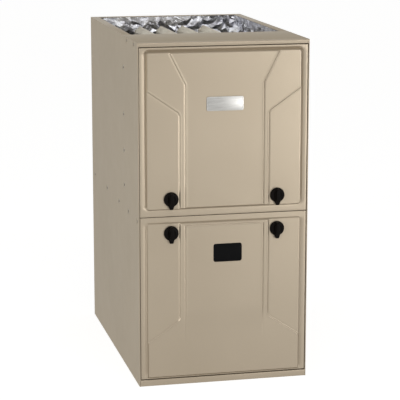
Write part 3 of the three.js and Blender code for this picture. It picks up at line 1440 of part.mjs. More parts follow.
function transformer() {
  const x1 = windowX - boardLeftOfWindow - transformerGap;
  const x0 = x1 - transformerWidth;
  const back = controlY - fit;
  const tier = (margin, reach, standoff, height) => block(x0 + margin, x1 - margin, back - reach,
    back - standoff, windowZ - height / 2, windowZ + height / 2);
  const core = tier(0, transformerDepth, transformerStandoff, transformerHeight);
  const winding = tier(windingMargin, windingDepth, 0, windingHeight);
  const feet = tier(0, transformerFootThickness, 0, transformerFootHeight);
  return mesh('transformer', join(core, winding, feet), blackSteel);
}

function doorSwitch() {
  const half = doorSwitchWidth / 2;
  const start = stileY + sheet + doorSwitchSetback;
  const body = block(doorSwitchX - half, doorSwitchX + half, start, start + doorSwitchDepth,
    doorSwitchZ - doorSwitchBelow, shelfHeight - fit);
  const bore = rod('y', plungerRadius + fit, start - 1, start + doorSwitchDepth - doorSwitchEnd,
    [doorSwitchX, doorSwitchZ], 16);
  return mesh('door_switch', cut(body, bore), blackPlastic);
}

// The plunger slides along Y; its tip rests against the tab of the lower door.
function doorSwitchPlunger() {
  const tip = doorBackY + fit;
  return mesh('door_switch_plunger', rod('y', plungerRadius, tip, tip + plungerLength,
    [doorSwitchX, doorSwitchZ], 16), redPlastic);
}

// The box for the mains wires stands against the right side and is open towards it.
function junctionBox() {
  const x0 = seatedHalfWidth - junctionDepth;
  const y0 = controlY - junctionAhead;
  const y1 = y0 + junctionLength;
  const z0 = windowZ - junctionBelowWindow;
  const z1 = z0 + junctionHeight;
  const outer = block(x0, seatedHalfWidth, y0, y1, z0, z1);
  const inner = block(x0 + sheet, seatedHalfWidth + 1, y0 + sheet, y1 - sheet, z0 + sheet, z1 - sheet);
  return mesh('junction_box', cut(outer, inner), galvanised);
}

function controls() {
  const group = new THREE.Group();
  group.add(controlPanel(), controlBoard(), transformer(), doorSwitch(), doorSwitchPlunger(), junctionBox());
  return group;
}

// ---------------------------------------------------------------- the furnace

const furnace = new THREE.Group();
furnace.add(casing(), doors(), heatExchanger(), burnerSection(), inducerSection(), blower(), controls());

export default furnace;
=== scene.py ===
import json
import math
import random

import bmesh
import bpy
import numpy as np
from mathutils import Matrix, Vector, noise


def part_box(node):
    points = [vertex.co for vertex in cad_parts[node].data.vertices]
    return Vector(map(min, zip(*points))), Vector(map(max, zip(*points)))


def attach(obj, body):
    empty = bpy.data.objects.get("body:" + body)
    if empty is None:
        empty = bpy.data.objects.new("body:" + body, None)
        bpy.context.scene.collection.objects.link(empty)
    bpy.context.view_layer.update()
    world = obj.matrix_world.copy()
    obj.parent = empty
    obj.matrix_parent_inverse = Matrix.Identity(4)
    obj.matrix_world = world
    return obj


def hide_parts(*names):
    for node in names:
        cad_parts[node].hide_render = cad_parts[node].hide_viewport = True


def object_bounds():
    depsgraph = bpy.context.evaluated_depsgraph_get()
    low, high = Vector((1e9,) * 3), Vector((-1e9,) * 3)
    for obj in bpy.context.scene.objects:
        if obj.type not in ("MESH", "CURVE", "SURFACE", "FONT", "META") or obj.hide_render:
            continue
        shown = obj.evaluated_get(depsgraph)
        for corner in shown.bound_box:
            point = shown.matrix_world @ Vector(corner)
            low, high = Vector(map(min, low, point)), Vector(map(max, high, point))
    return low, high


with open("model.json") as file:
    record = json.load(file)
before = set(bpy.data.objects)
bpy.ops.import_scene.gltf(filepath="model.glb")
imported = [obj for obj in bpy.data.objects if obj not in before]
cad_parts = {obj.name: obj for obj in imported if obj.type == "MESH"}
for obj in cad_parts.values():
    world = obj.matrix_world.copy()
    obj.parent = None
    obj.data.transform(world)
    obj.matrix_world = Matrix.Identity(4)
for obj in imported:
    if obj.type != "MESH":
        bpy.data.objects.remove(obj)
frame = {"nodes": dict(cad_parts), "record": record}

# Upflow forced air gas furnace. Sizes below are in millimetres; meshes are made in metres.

MM = 0.001
CAD_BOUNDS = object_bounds()

# ---------------------------------------------------------------- sizes

SHEET = 1.2
CASE_LOW, CASE_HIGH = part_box("casing_left_side")
CASE_HALF_WIDTH = CASE_LOW.x / -MM
CASE_FRONT = CASE_LOW.y / MM
CASE_BACK = CASE_HIGH.y / MM
CASE_TOP = CASE_HIGH.z / MM

# doors
DOOR_FOLD = 1.6
DOOR_LIP = 12.0
DOOR_EDGE_STEPS = 4
FIELD_HALF_WIDTH = CASE_HALF_WIDTH - 20
FIELD_CORNER = 8.0
WING_HEIGHT = 3.5
STRIP_HEIGHT = 5.5
PANEL_HEIGHT = 7.5
LEVEL_RUN = 3.2
BEAD_HEIGHT = 0.55
BEAD_WIDTH = 1.3
GROOVE_DEPTH = 3.0
GROOVE_WIDTH = 1.9
PANEL_HALF_WIDTH = 102.0
PANEL_FLARE = 144.0
WING_HALF_WIDTH = 116.0
WING_CORNER = 4.0
FLARE_DROP = 83.0
UPPER_WING_OUTER = 97.0
UPPER_WING_INNER = 154.0
LOWER_WING_OUTER = 94.0
LOWER_WING_INNER = 149.0
WING_END = 14.0
PAST_FIELD = 20.0
PANEL_TOP_GAP = 9.0
FINE_STEP = 1.4
COARSE_STEP = 5.0
KNOB_RADIUS = 19.0
STEM_HOLE = 6.0
LENS_FLANGE = 6.3

# casing sides
VENT_HOLE = 39.3
GAS_HOLE = 12.5
WALL_STEP = 12.0
WALL_FINE_STEP = 1.8
WAVE_DEPTH = 0.7
SCREW_WASHER = 4.6
SCREW_HEX = 3.5
DIMPLE_DEPTH = 2.6
DIMPLE_RADIUS = 9.0

# blowers and their motors
BLOWER_CUTOFF = 70
SCROLL_START_SHARE = 0.881
BLOWER_INLET = 107.0
BLADES = 42
BLADE_STEPS = 5
BLADE_THICKNESS = 0.9
INDUCER_START = 72.0
INDUCER_CUTOFF = 108
INDUCER_MOTOR_RADIUS = 42
TUBE_RADIUS = 4.0

# burners, cells and control board
BURNER_WALL = 1.5
CELL_SHOULDER = 17.0
CELL_DIMPLE = 6.0
CELL_SEAM = 2.6
SEAM_HALF_WIDTH = 1.9
BOARD_RELIEF = 9.6
TERMINAL_PITCH = 9.0
LAMINATIONS = 14
WIRE_RADIUS = 1.1

# foil
FOIL_CREASE_STEP = 13.0
FOIL_CREASE_DEPTH = 6.0
FOIL_THICKNESS = 12.7

# ---------------------------------------------------------------- small helpers


def srgb(red, green, blue):
    """The linear colour of an sRGB triple from 0 to 255."""
    channels = [c / 255 for c in (red, green, blue)]
    return [c / 12.92 if c <= 0.04045 else ((c + 0.055) / 1.055) ** 2.4 for c in channels] + [1.0]


def box_of(node):
    """The lowest and highest corner of a CAD node, in millimetres."""
    low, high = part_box(node)
    return np.array(low) / MM, np.array(high) / MM


def centre_of(node):
    low, high = box_of(node)
    return (low + high) / 2


def linked(name, data):
    obj = bpy.data.objects.new(name, data)
    bpy.context.scene.collection.objects.link(obj)
    return obj


def shaded(obj, angle=35):
    obj.data.shade_smooth()
    obj.data.set_sharp_from_angle(angle=math.radians(angle))
    return obj


def new_object(name, points, faces, angle=35, outward=True):
    mesh = bpy.data.meshes.new(name)
    mesh.from_pydata([[c * MM for c in point] for point in points], [], faces)
    if outward:
        shell = bmesh.new()
        shell.from_mesh(mesh)
        bmesh.ops.recalc_face_normals(shell, faces=shell.faces)
        shell.to_mesh(mesh)
        shell.free()
    return shaded(linked(name, mesh), angle)


def applied(obj, angle=35):
    """The object with its modifiers made part of its mesh."""
    bpy.context.view_layer.update()
    depsgraph = bpy.context.evaluated_depsgraph_get()
    mesh = bpy.data.meshes.new_from_object(obj.evaluated_get(depsgraph))
    obj.modifiers.clear()
    obj.data = mesh
    return shaded(obj, angle)


def bevelled(obj, width, segments=2, angle=30):
    bevel = obj.modifiers.new("bevel", "BEVEL")
    bevel.width = width * MM
    bevel.segments = segments
    bevel.limit_method = "ANGLE"
    bevel.angle_limit = math.radians(angle)
    bevel.use_clamp_overlap = True
    return applied(obj)


def block(name, low, high, bevel=0.4):
    xs, ys, zs = zip(low, high)
    points = [(x, y, z) for x in xs for y in ys for z in zs]
    faces = [(0, 1, 3, 2), (4, 6, 7, 5), (0, 4, 5, 1), (2, 3, 7, 6), (0, 2, 6, 4), (1, 5, 7, 3)]
    obj = new_object(name, points, faces)
    return bevelled(obj, bevel) if bevel else obj


AXES = {
    "x": (Vector((1, 0, 0)), Vector((0, 1, 0)), Vector((0, 0, 1))),
    "y": (Vector((0, 1, 0)), Vector((0, 0, 1)), Vector((1, 0, 0))),
    "z": (Vector((0, 0, 1)), Vector((1, 0, 0)), Vector((0, 1, 0))),
}


def turned(name, axis, centre, profile, segments=64, angle=35):
    """A turned piece round an axis through centre; profile holds closed (radius, along) pairs."""
    along, across, third = AXES[axis]
    centre = Vector(centre)
    points, rings = [], []
    for radius, distance in profile:
        if radius < 1e-6:
            rings.append([len(points)])
            points.append(centre + along * distance)
            continue
        rings.append(list(range(len(points), len(points) + segments)))
        for step in range(segments):
            turn = 2 * math.pi * step / segments
            points.append(centre + along * distance
                          + (across * math.cos(turn) + third * math.sin(turn)) * radius)
    faces = []
    for one, two in zip(rings, rings[1:] + rings[:1]):
        if len(one) == 1 and len(two) == 1:
            continue
        for step in range(segments):
            after = (step + 1) % segments
            if len(one) == 1:
                faces.append((one[0], two[step], two[after]))
            elif len(two) == 1:
                faces.append((one[step], two[0], one[after]))
            else:
                faces.append((one[step], two[step], two[after], one[after]))
    return new_object(name, points, faces, angle)


def rod(name, axis, centre, radius, start, end, edge=0.6, segments=48):
    """A round bar with softly rounded ends."""
    start, end = sorted((start, end))
    edge = min(edge, (end - start) / 2.5, radius / 2)
    return turned(name, axis, centre, [
        (0, start), (radius - edge, start), (radius - edge * 0.3, start + edge * 0.3), (radius, start + edge),
        (radius, end - edge), (radius - edge * 0.3, end - edge * 0.3), (radius - edge, end), (0, end),
    ], segments)


def prism(name, axis, outline, start, end, bevel=0.4, segments=2, angle=35):
    """An outline across an axis, in the two other coordinates in order, drawn from start to end."""
    order = {"x": (2, 0, 1), "y": (0, 2, 1), "z": (0, 1, 2)}[axis]
    points = [[(u, v, distance)[place] for place in order] for distance in (start, end) for u, v in outline]
    count = len(outline)
    faces = [tuple(range(count)), tuple(range(2 * count - 1, count - 1, -1))]
    faces += [(step, (step + 1) % count, count + (step + 1) % count, count + step) for step in range(count)]
    obj = new_object(name, points, faces, angle)
    return bevelled(obj, bevel, segments) if bevel else obj


def rounded_rectangle(u0, u1, v0, v1, radius, steps=6):
    corners = [(u1 - radius, v1 - radius, 0), (u0 + radius, v1 - radius, 90),
               (u0 + radius, v0 + radius, 180), (u1 - radius, v0 + radius, 270)]
    outline = []
    for u, v, start in corners:
        for step in range(steps + 1):
            turn = math.radians(start + 90 * step / steps)
            outline.append((u + radius * math.cos(turn), v + radius * math.sin(turn)))
    return outline


def joined(name, parts):
    """Several objects as one, without cutting them into each other."""
    whole = bmesh.new()
    for part in parts:
        part.data.transform(part.matrix_world)
        whole.from_mesh(part.data)
        bpy.data.objects.remove(part)
    mesh = bpy.data.meshes.new(name)
    whole.to_mesh(mesh)
    whole.free()
    return shaded(linked(name, mesh))


def spun(count, axis, centre, low, high, bevel=0.4):
    """Equal blocks round an axis through centre; low and high are measured from the centre."""
    copies = []
    for step in range(count):
        copy = block("copy", low, high, bevel)
        copy.data.transform(Matrix.Rotation(2 * math.pi * step / count, 4, axis))
        copy.data.transform(Matrix.Translation([c * MM for c in centre]))
        copies.append(copy)
    return copies


def cut(obj, *tools):
    for tool in tools:
        boolean = obj.modifiers.new("cut", "BOOLEAN")
        boolean.operation = "DIFFERENCE"
        boolean.solver = "EXACT"
        boolean.object = tool
    obj = applied(obj)
    for tool in tools:
        bpy.data.objects.remove(tool)
    return obj


def tube(name, points, radius, segments=10):
    """A round tube or wire along points."""
    curve = bpy.data.curves.new(name, "CURVE")
    curve.dimensions = "3D"
    curve.bevel_depth = radius * MM
    curve.bevel_resolution = segments // 4
    curve.use_fill_caps = True
    spline = curve.splines.new("POLY")
    spline.points.add(len(points) - 1)
    for target, point in zip(spline.points, points):
        target.co = [c * MM for c in point] + [1]
    source = linked(name + "_line", curve)
    bpy.context.view_layer.update()
    mesh = bpy.data.meshes.new_from_object(source.evaluated_get(bpy.context.evaluated_depsgraph_get()))
    bpy.data.objects.remove(source)
    return shaded(linked(name, mesh))


def signed_distance(points, corners):
    """The distance of each point to a closed outline, positive inside it."""
    corners = np.array(corners, float)
    nearest = np.full(len(points), np.inf)
    inside = np.zeros(len(points), bool)
    for start, end in zip(corners, np.roll(corners, -1, axis=0)):
        edge = end - start
        share = np.clip(((points - start) @ edge) / (edge @ edge), 0, 1)
        gap = points - start - share[:, None] * edge
        nearest = np.minimum(nearest, np.hypot(gap[:, 0], gap[:, 1]))
        if start[1] == end[1]:
            continue
        crosses = (start[1] > points[:, 1]) != (end[1] > points[:, 1])
        at = start[0] + (points[:, 1] - start[1]) / edge[1] * edge[0]
        inside ^= crosses & (points[:, 0] < at)
    return np.where(inside, nearest, -nearest)


def rounded_distance(points, u0, u1, v0, v1, radius):
    """The same for a rectangle with rounded corners."""
    centre = np.array([(u0 + u1) / 2, (v0 + v1) / 2])
    half = np.array([(u1 - u0) / 2, (v1 - v0) / 2]) - radius
    beyond = np.abs(points - centre) - half
    outside = np.hypot(*np.maximum(beyond, 0).T)
    return radius - outside - np.minimum(beyond.max(axis=1), 0)


def smooth_step(distance, run):
    """0 before -run / 2 and 1 after run / 2."""
    share = np.clip(distance / run + 0.5, 0, 1)
    return share * share * (3 - 2 * share)


def grid_lines(start, end, coarse, fine, bands):
    """Places from start to end: close together inside the bands and further apart elsewhere."""
    stops = {start, end}
    for low, high in bands:
        stops.update((max(low, start), min(high, end)))
    stops = sorted(stops)
    lines = [start]
    for low, high in zip(stops, stops[1:]):
        middle = (low + high) / 2
        step = fine if any(a <= middle <= b for a, b in bands) else coarse
        count = max(1, round((high - low) / step))
        lines += [low + (high - low) * (index + 1) / count for index in range(count)]
    return np.array(lines)


def pierced_grid(us, vs, holes):
    """A grid's points and faces without those inside the holes, whose edges are drawn to the outlines."""
    mesh_u, mesh_v = np.meshgrid(us, vs, indexing="ij")
    points = np.column_stack([mesh_u.ravel(), mesh_v.ravel()])
    rows = len(vs)
    corner = (np.arange(len(us) - 1)[:, None] * rows + np.arange(rows - 1)).ravel()
    faces = np.column_stack([corner, corner + rows, corner + rows + 1, corner + 1])
    for hole in holes:
        centres = points[faces].mean(axis=1)
        gone = hole(centres) > 0
        edge = np.intersect1d(faces[gone], faces[~gone])
        faces = faces[~gone]
        for _ in range(3):
            here = points[edge]
            value = hole(here)
            slope = np.column_stack([
                (hole(here + [0.01, 0]) - value) / 0.01, (hole(here + [0, 0.01]) - value) / 0.01])
            points[edge] = here - slope * value[:, None]
    return points, faces


def solid_sheet(name, points, faces, thickness=SHEET, angle=35):
    """A skin made one sheet thick, away from its outward side."""
    obj = new_object(name, points, faces, angle, outward=False)
    loose = bmesh.new()
    loose.from_mesh(obj.data)
    stray = [vertex for vertex in loose.verts if not vertex.link_faces]
    bmesh.ops.delete(loose, geom=stray, context="VERTS")
    loose.to_mesh(obj.data)
    loose.free()
    solidify = obj.modifiers.new("sheet", "SOLIDIFY")
    solidify.thickness = thickness * MM
    solidify.offset = -1
    return applied(obj, angle)


def held_inside(obj, node):
    """Moves what stands out past the box of a CAD node, by hundredths of a millimetre, back onto it."""
    low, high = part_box(node)
    for vertex in obj.data.vertices:
        vertex.co = [min(max(c, a), b) for c, a, b in zip(vertex.co, low, high)]
    return obj


# ---------------------------------------------------------------- finishes


class Finish:
    """A Principled material with patterns in the piece's own space."""

    def __init__(self, name, roughness, metallic=0.0, **constants):
        self.material = bpy.data.materials.new(name)
        self.material.use_nodes = True
        self.tree = self.material.node_tree
        self.shader = self.tree.nodes["Principled BSDF"]
        self.shader.inputs["Roughness"].default_value = roughness
        self.shader.inputs["Metallic"].default_value = metallic
        for socket, value in constants.items():
            self.shader.inputs[socket.replace("_", " ")].default_value = value
        self.place = self.add("ShaderNodeTexCoord").outputs["Object"]
        self.relief = None

    def add(self, kind, inputs=None, **settings):
        node = self.tree.nodes.new(kind)
        for key, value in settings.items():
            setattr(node, key, value)
        for socket, value in (inputs or {}).items():
            if isinstance(value, bpy.types.NodeSocket):
                self.tree.links.new(value, node.inputs[socket])
            else:
                node.inputs[socket].default_value = value
        return node

    def stretched(self, x, y, z):
        return self.add("ShaderNodeMapping", {"Vector": self.place, "Scale": (x, y, z)}).outputs["Vector"]

    def noise(self, scale, detail=3.0, place=None, distortion=0.0):
        return self.add("ShaderNodeTexNoise", {
            "Vector": place or self.place, "Scale": scale, "Detail": detail, "Distortion": distortion,
        }).outputs["Fac"]

    def cells(self, scale, feature="F1", place=None):
        return self.add("ShaderNodeTexVoronoi", {"Vector": place or self.place, "Scale": scale},
                        feature=feature)

    def ramp(self, factor, stops):
        node = self.add("ShaderNodeValToRGB", {"Fac": factor})
        elements = node.color_ramp.elements
        while len(elements) < len(stops):
            elements.new(0.5)
        for element, (position, colour) in zip(elements, stops):
            element.position = position
            element.color = colour
        return node.outputs["Color"]

    def blend(self, pattern, dark, light):
        """From one sRGB triple to another as a pattern goes from low to high."""
        return self.ramp(pattern, [(0.3, srgb(*dark)), (0.7, srgb(*light))])

    def mixed(self, factor, one, two, blend="MIX"):
        return self.add("ShaderNodeMixRGB", {"Fac": factor, "Color1": one, "Color2": two},
                        blend_type=blend).outputs["Color"]

    def colour(self, socket):
        self.tree.links.new(socket, self.shader.inputs["Base Color"])

    def roughness(self, factor, low, high):
        spread = self.add("ShaderNodeMapRange", {"Value": factor, "To Min": low, "To Max": high})
        self.tree.links.new(spread.outputs["Result"], self.shader.inputs["Roughness"])

    def bump(self, height, distance):
        """Adds relief that is distance millimetres high."""
        inputs = {"Height": height, "Distance": distance * MM, "Strength": 1.0}
        if self.relief:
            inputs["Normal"] = self.relief
        self.relief = self.add("ShaderNodeBump", inputs).outputs["Normal"]
        self.tree.links.new(self.relief, self.shader.inputs["Normal"])


def casing_paint():
    finish = Finish("casing_paint", 0.36, 0.5, Specular_IOR_Level=0.2, Specular_Tint=(0.5, 0.45, 0.34, 1),
                    Coat_Weight=0.06, Coat_Roughness=0.2)
    base = finish.blend(finish.noise(3.2, 2.0), (170, 157, 138), (175, 162, 143))
    fleck = finish.noise(1400, 2.0)
    speckle = finish.ramp(fleck, [(0.35, (0.93, 0.93, 0.93, 1)), (0.65, (1.0, 1.0, 1.0, 1))])
    finish.colour(finish.mixed(0.5, base, speckle, "MULTIPLY"))
    finish.roughness(finish.noise(26, 4.0), 0.32, 0.41)
    finish.bump(finish.noise(5.5, 1.0), 0.5)
    finish.bump(finish.noise(620, 2.0), 0.012)
    return finish.material


def galvanised_steel():
    finish = Finish("galvanised_steel", 0.4, 0.9)
    spangle = finish.cells(110).outputs["Color"]
    grey = finish.add("ShaderNodeRGBToBW", {"Color": spangle}).outputs["Val"]
    finish.colour(finish.ramp(grey, [(0.1, srgb(166, 169, 171)), (0.5, srgb(178, 181, 182)),
                                     (0.9, srgb(189, 191, 191))]))
    finish.roughness(grey, 0.36, 0.5)
    finish.bump(finish.noise(300, 3.0), 0.02)
    return finish.material


def aluminised_steel():
    finish = Finish("aluminised_steel", 0.42, 0.75)
    streaks = finish.noise(220, 4.0, finish.stretched(1.0, 0.12, 1.0))
    base = finish.blend(streaks, (168, 160, 142), (203, 197, 180))
    heat = finish.noise(7, 3.0)
    finish.colour(finish.mixed(finish.ramp(heat, [(0.45, (0, 0, 0, 1)), (0.75, (0.5, 0.5, 0.5, 1))]),
                               base, srgb(176, 150, 118)))
    finish.roughness(streaks, 0.34, 0.55)
    finish.bump(streaks, 0.02)
    return finish.material


def foil_insulation():
    finish = Finish("foil_insulation", 0.3, 1.0)
    tone = finish.noise(34, 3.0)
    finish.colour(finish.ramp(tone, [(0.3, srgb(196, 196, 206)), (0.55, srgb(226, 227, 232)),
                                     (0.8, srgb(240, 240, 240))]))
    finish.roughness(finish.noise(90, 3.0), 0.22, 0.4)
    finish.bump(finish.noise(42, 2.0, distortion=1.2), 2.2)
    finish.bump(finish.noise(190, 2.0, distortion=1.5), 0.25)
    return finish.material


def black_plastic():
    finish = Finish("black_plastic", 0.4, Specular_IOR_Level=0.05)
    grain = finish.noise(1500, 2.0)
    finish.colour(finish.blend(finish.noise(60, 3.0), (11, 8, 7), (17, 13, 11)))
    finish.roughness(grain, 0.32, 0.48)
    finish.bump(grain, 0.03)
    return finish.material


def red_plastic():
    finish = Finish("red_plastic", 0.35)
    finish.colour(finish.blend(finish.noise(80, 3.0), (150, 28, 22), (178, 38, 28)))
    finish.bump(finish.noise(1200, 2.0), 0.02)
    return finish.material


def dark_glass():
    finish = Finish("dark_glass", 0.08, Specular_IOR_Level=0.06)
    finish.colour(finish.blend(finish.noise(30, 2.0), (8, 8, 9), (12, 12, 13)))
    finish.roughness(finish.noise(140, 3.0), 0.06, 0.14)
    return finish.material


def cast_aluminium():
    finish = Finish("cast_aluminium", 0.5, 0.85)
    grain = finish.noise(900, 4.0)
    finish.colour(finish.blend(finish.noise(40, 4.0), (150, 152, 154), (186, 187, 188)))
    finish.roughness(grain, 0.4, 0.62)
    finish.bump(grain, 0.06)
    return finish.material


def black_steel():
    finish = Finish("black_steel", 0.45, 0.3)
    finish.colour(finish.blend(finish.noise(50, 4.0), (26, 26, 29), (42, 42, 45)))
    finish.roughness(finish.noise(130, 3.0), 0.36, 0.56)
    finish.bump(finish.noise(800, 3.0), 0.03)
    return finish.material


def motor_paint():
    finish = Finish("motor_paint", 0.4, 0.2, Coat_Weight=0.2)
    finish.colour(finish.blend(finish.noise(36, 4.0), (36, 39, 44), (55, 58, 63)))
    finish.roughness(finish.noise(200, 3.0), 0.34, 0.52)
    finish.bump(finish.noise(700, 3.0), 0.04)
    return finish.material


def ground_steel():
    finish = Finish("ground_steel", 0.28, 1.0)
    rings = finish.noise(900, 3.0, finish.stretched(1.0, 0.02, 0.02))
    finish.colour(finish.blend(rings, (168, 169, 171), (214, 214, 214)))
    finish.roughness(rings, 0.2, 0.4)
    return finish.material


def brushed_plate():
    finish = Finish("brushed_plate", 0.32, 1.0)
    lines = finish.noise(2600, 3.0, finish.stretched(0.015, 1.0, 1.0))
    finish.colour(finish.blend(lines, (150, 148, 144), (192, 191, 188)))
    finish.roughness(lines, 0.26, 0.42)
    finish.bump(lines, 0.01)
    return finish.material


def circuit_board():
    finish = Finish("circuit_board", 0.4, Coat_Weight=0.4)
    traces = finish.add("ShaderNodeTexBrick", {
        "Vector": finish.add("ShaderNodeMapping", {
            "Vector": finish.place, "Rotation": (math.radians(90), 0, math.radians(45)),
        }).outputs["Vector"],
        "Color1": srgb(26, 88, 52), "Color2": srgb(30, 100, 58), "Mortar": srgb(70, 140, 84),
        "Scale": 150.0, "Mortar Size": 0.03,
    }).outputs["Color"]
    finish.colour(finish.mixed(finish.noise(60, 2.0), traces, srgb(20, 74, 44)))
    return finish.material


def ceramic():
    finish = Finish("ceramic", 0.55)
    finish.colour(finish.blend(finish.noise(90, 4.0), (214, 206, 190), (236, 231, 220)))
    finish.bump(finish.noise(900, 3.0), 0.04)
    return finish.material


def tube_rubber():
    finish = Finish("tube_rubber", 0.65)
    finish.colour(finish.blend(finish.noise(120, 3.0), (22, 22, 22), (36, 35, 34)))
    finish.bump(finish.noise(1300, 3.0), 0.03)
    return finish.material


def screw_zinc():
    finish = Finish("screw_zinc", 0.35, 0.9)
    finish.colour(finish.blend(finish.noise(400, 3.0), (104, 99, 90), (146, 141, 131)))
    finish.roughness(finish.noise(700, 3.0), 0.28, 0.5)
    return finish.material


FINISHES = {finish.__name__: finish() for finish in (
    casing_paint, galvanised_steel, foil_insulation, aluminised_steel, black_steel, cast_aluminium,
    motor_paint, ground_steel, black_plastic, red_plastic, dark_glass, brushed_plate, circuit_board, ceramic,
    tube_rubber)}
SCREW_ZINC = screw_zinc()


def piece(obj, body, slot, *nodes, finish=None):
    """Gives a finished piece its look and its body, and lets it stand for CAD nodes."""
    obj.data.materials.clear()
    obj.data.materials.append(finish or FINISHES[slot])
    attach(obj, body)
    if nodes:
        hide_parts(*nodes)


def zinc_piece(name, parts):
    """Screws and leads of the casing and what is fixed in it."""
    piece(joined(name, parts), "root", "galvanised_steel", finish=SCREW_ZINC)


# ---------------------------------------------------------------- CAD nodes that are shown

SLOT_OF = {part["node"]: part["material_slot"] for part in frame["record"]["subparts"]}


def dress_nodes():
    """Each CAD node gets its slot's finish, softened edges and smooth round faces."""
    for name, node in frame["nodes"].items():
        slot = SLOT_OF[name]
        node.data.materials.clear()
        node.data.materials.append(FINISHES[slot])
        shaded(node, 32)
        bevel = node.modifiers.new("edges", "BEVEL")
        bevel.width = 0.35 * MM
        bevel.segments = 2
        bevel.limit_method = "ANGLE"
        bevel.angle_limit = math.radians(40)
        bevel.harden_normals = True


# ---------------------------------------------------------------- doors


def pan(name, half_width, bottom, top, front, back, height, xs, zs, holes):
    """A door pressed from one sheet: a formed face, folded sides and inner lips."""
    us = np.unique(np.concatenate([[-half_width + DOOR_FOLD], xs[np.abs(xs) < half_width - DOOR_FOLD - 0.5],
                                   [half_width - DOOR_FOLD]]))
    vs = np.unique(np.concatenate([[bottom + DOOR_FOLD],
                                   zs[(zs > bottom + DOOR_FOLD + 0.5) & (zs < top - DOOR_FOLD - 0.5)],
                                   [top - DOOR_FOLD]]))
    flat, faces = pierced_grid(us, vs, holes)
    points = [(u, front - h, v) for (u, v), h in zip(flat, height(flat))]
    faces = [tuple(face) for face in faces]
    rows = len(vs)
    last = len(us) - 1
    loop = [u * rows for u in range(last)] + [last * rows + v for v in range(rows - 1)]
    loop += [u * rows + rows - 1 for u in range(last, 0, -1)] + list(range(rows - 1, 0, -1))
    middle = (bottom + top) / 2
    reach_u = half_width - DOOR_FOLD
    reach_v = (top - bottom) / 2 - DOOR_FOLD
    rings = []
    for step in range(1, DOOR_EDGE_STEPS + 1):
        turn = math.pi / 2 * step / DOOR_EDGE_STEPS
        rings.append((DOOR_FOLD * (1 - math.sin(turn)), front + DOOR_FOLD * (1 - math.cos(turn))))
    for step in range(DOOR_EDGE_STEPS + 1):
        turn = math.pi / 2 * step / DOOR_EDGE_STEPS
        rings.append((DOOR_FOLD * (1 - math.cos(turn)), back - DOOR_FOLD + DOOR_FOLD * math.sin(turn)))
    rings.append((DOOR_LIP, back))
    before = loop
    for inset, depth in rings:
        scale_u = (half_width - inset) / reach_u
        scale_v = ((top - bottom) / 2 - inset) / reach_v
        ring = []
        for index in loop:
            u, _, v = points[index]
            ring.append(len(points))
            points.append((u * scale_u, depth, middle + (v - middle) * scale_v))
        count = len(loop)
        for step in range(count):
            after = (step + 1) % count
            faces.append((before[step], ring[step], ring[after], before[after]))
        before = ring
    return solid_sheet(name, points, faces)


def level(height, distance, value, share=1.0):
    """Goes over from the height so far to a pressed level, with a crisp bead along the level's outline."""
    crest = np.exp(-((distance - LEVEL_RUN / 2) / BEAD_WIDTH) ** 2)
    foot = np.exp(-((distance + LEVEL_RUN / 2) / BEAD_WIDTH) ** 2)
    risen = (value - height) * smooth_step(distance, LEVEL_RUN) + BEAD_HEIGHT * (crest - foot)
    return height + risen * share


def groove(distance):
    return GROOVE_DEPTH * np.exp(-((distance + GROOVE_WIDTH) / GROOVE_WIDTH) ** 2)


def round_hole(u, v, radius):
    return lambda points: radius - np.hypot(points[:, 0] - u, points[:, 1] - v)


def knob_holes(nodes):
    return [round_hole(centre_of(node)[0], box_of(node)[1][2] - KNOB_RADIUS, STEM_HOLE) for node in nodes]


def mirrored(half):
    """A closed outline from its right half."""
    return half + [(-u, v) for u, v in reversed(half)]


def pressed(raised, field_distance):
    """The raised levels, coming up from nothing along the edge of the field."""
    inside = np.clip((field_distance + 0.2) / (raised * 0.75), 0, 1)
    return raised * inside * inside * (3 - 2 * inside)


def upper_height(field):
    u0, u1, v0, v1 = field
    outer = v1 - UPPER_WING_OUTER
    inner = v1 - UPPER_WING_INNER
    past_side, past_top, past_bottom = u1 + PAST_FIELD, v1 + PAST_FIELD, v0 - PAST_FIELD
    strip = mirrored([(WING_HALF_WIDTH, past_bottom), (WING_HALF_WIDTH, inner - 2 * WING_CORNER),
                      (WING_HALF_WIDTH + WING_CORNER, inner), (past_side, outer + WING_END),
                      (past_side, past_top)])
    centre = mirrored([(PANEL_HALF_WIDTH, past_bottom), (PANEL_HALF_WIDTH, v1 - FLARE_DROP),
                       (PANEL_FLARE, v1), (PANEL_FLARE + 10, past_top)])

    def height(points):
        field_distance = rounded_distance(points, u0, u1, v0, v1, FIELD_CORNER)
        raised = np.full(len(points), WING_HEIGHT)
        raised = level(raised, signed_distance(points, strip), STRIP_HEIGHT)
        raised = level(raised, signed_distance(points, centre), PANEL_HEIGHT)
        sunk = groove(field_distance) * smooth_step(points[:, 1] - v0 - 6, 30)
        return pressed(raised, field_distance) - sunk

    return height


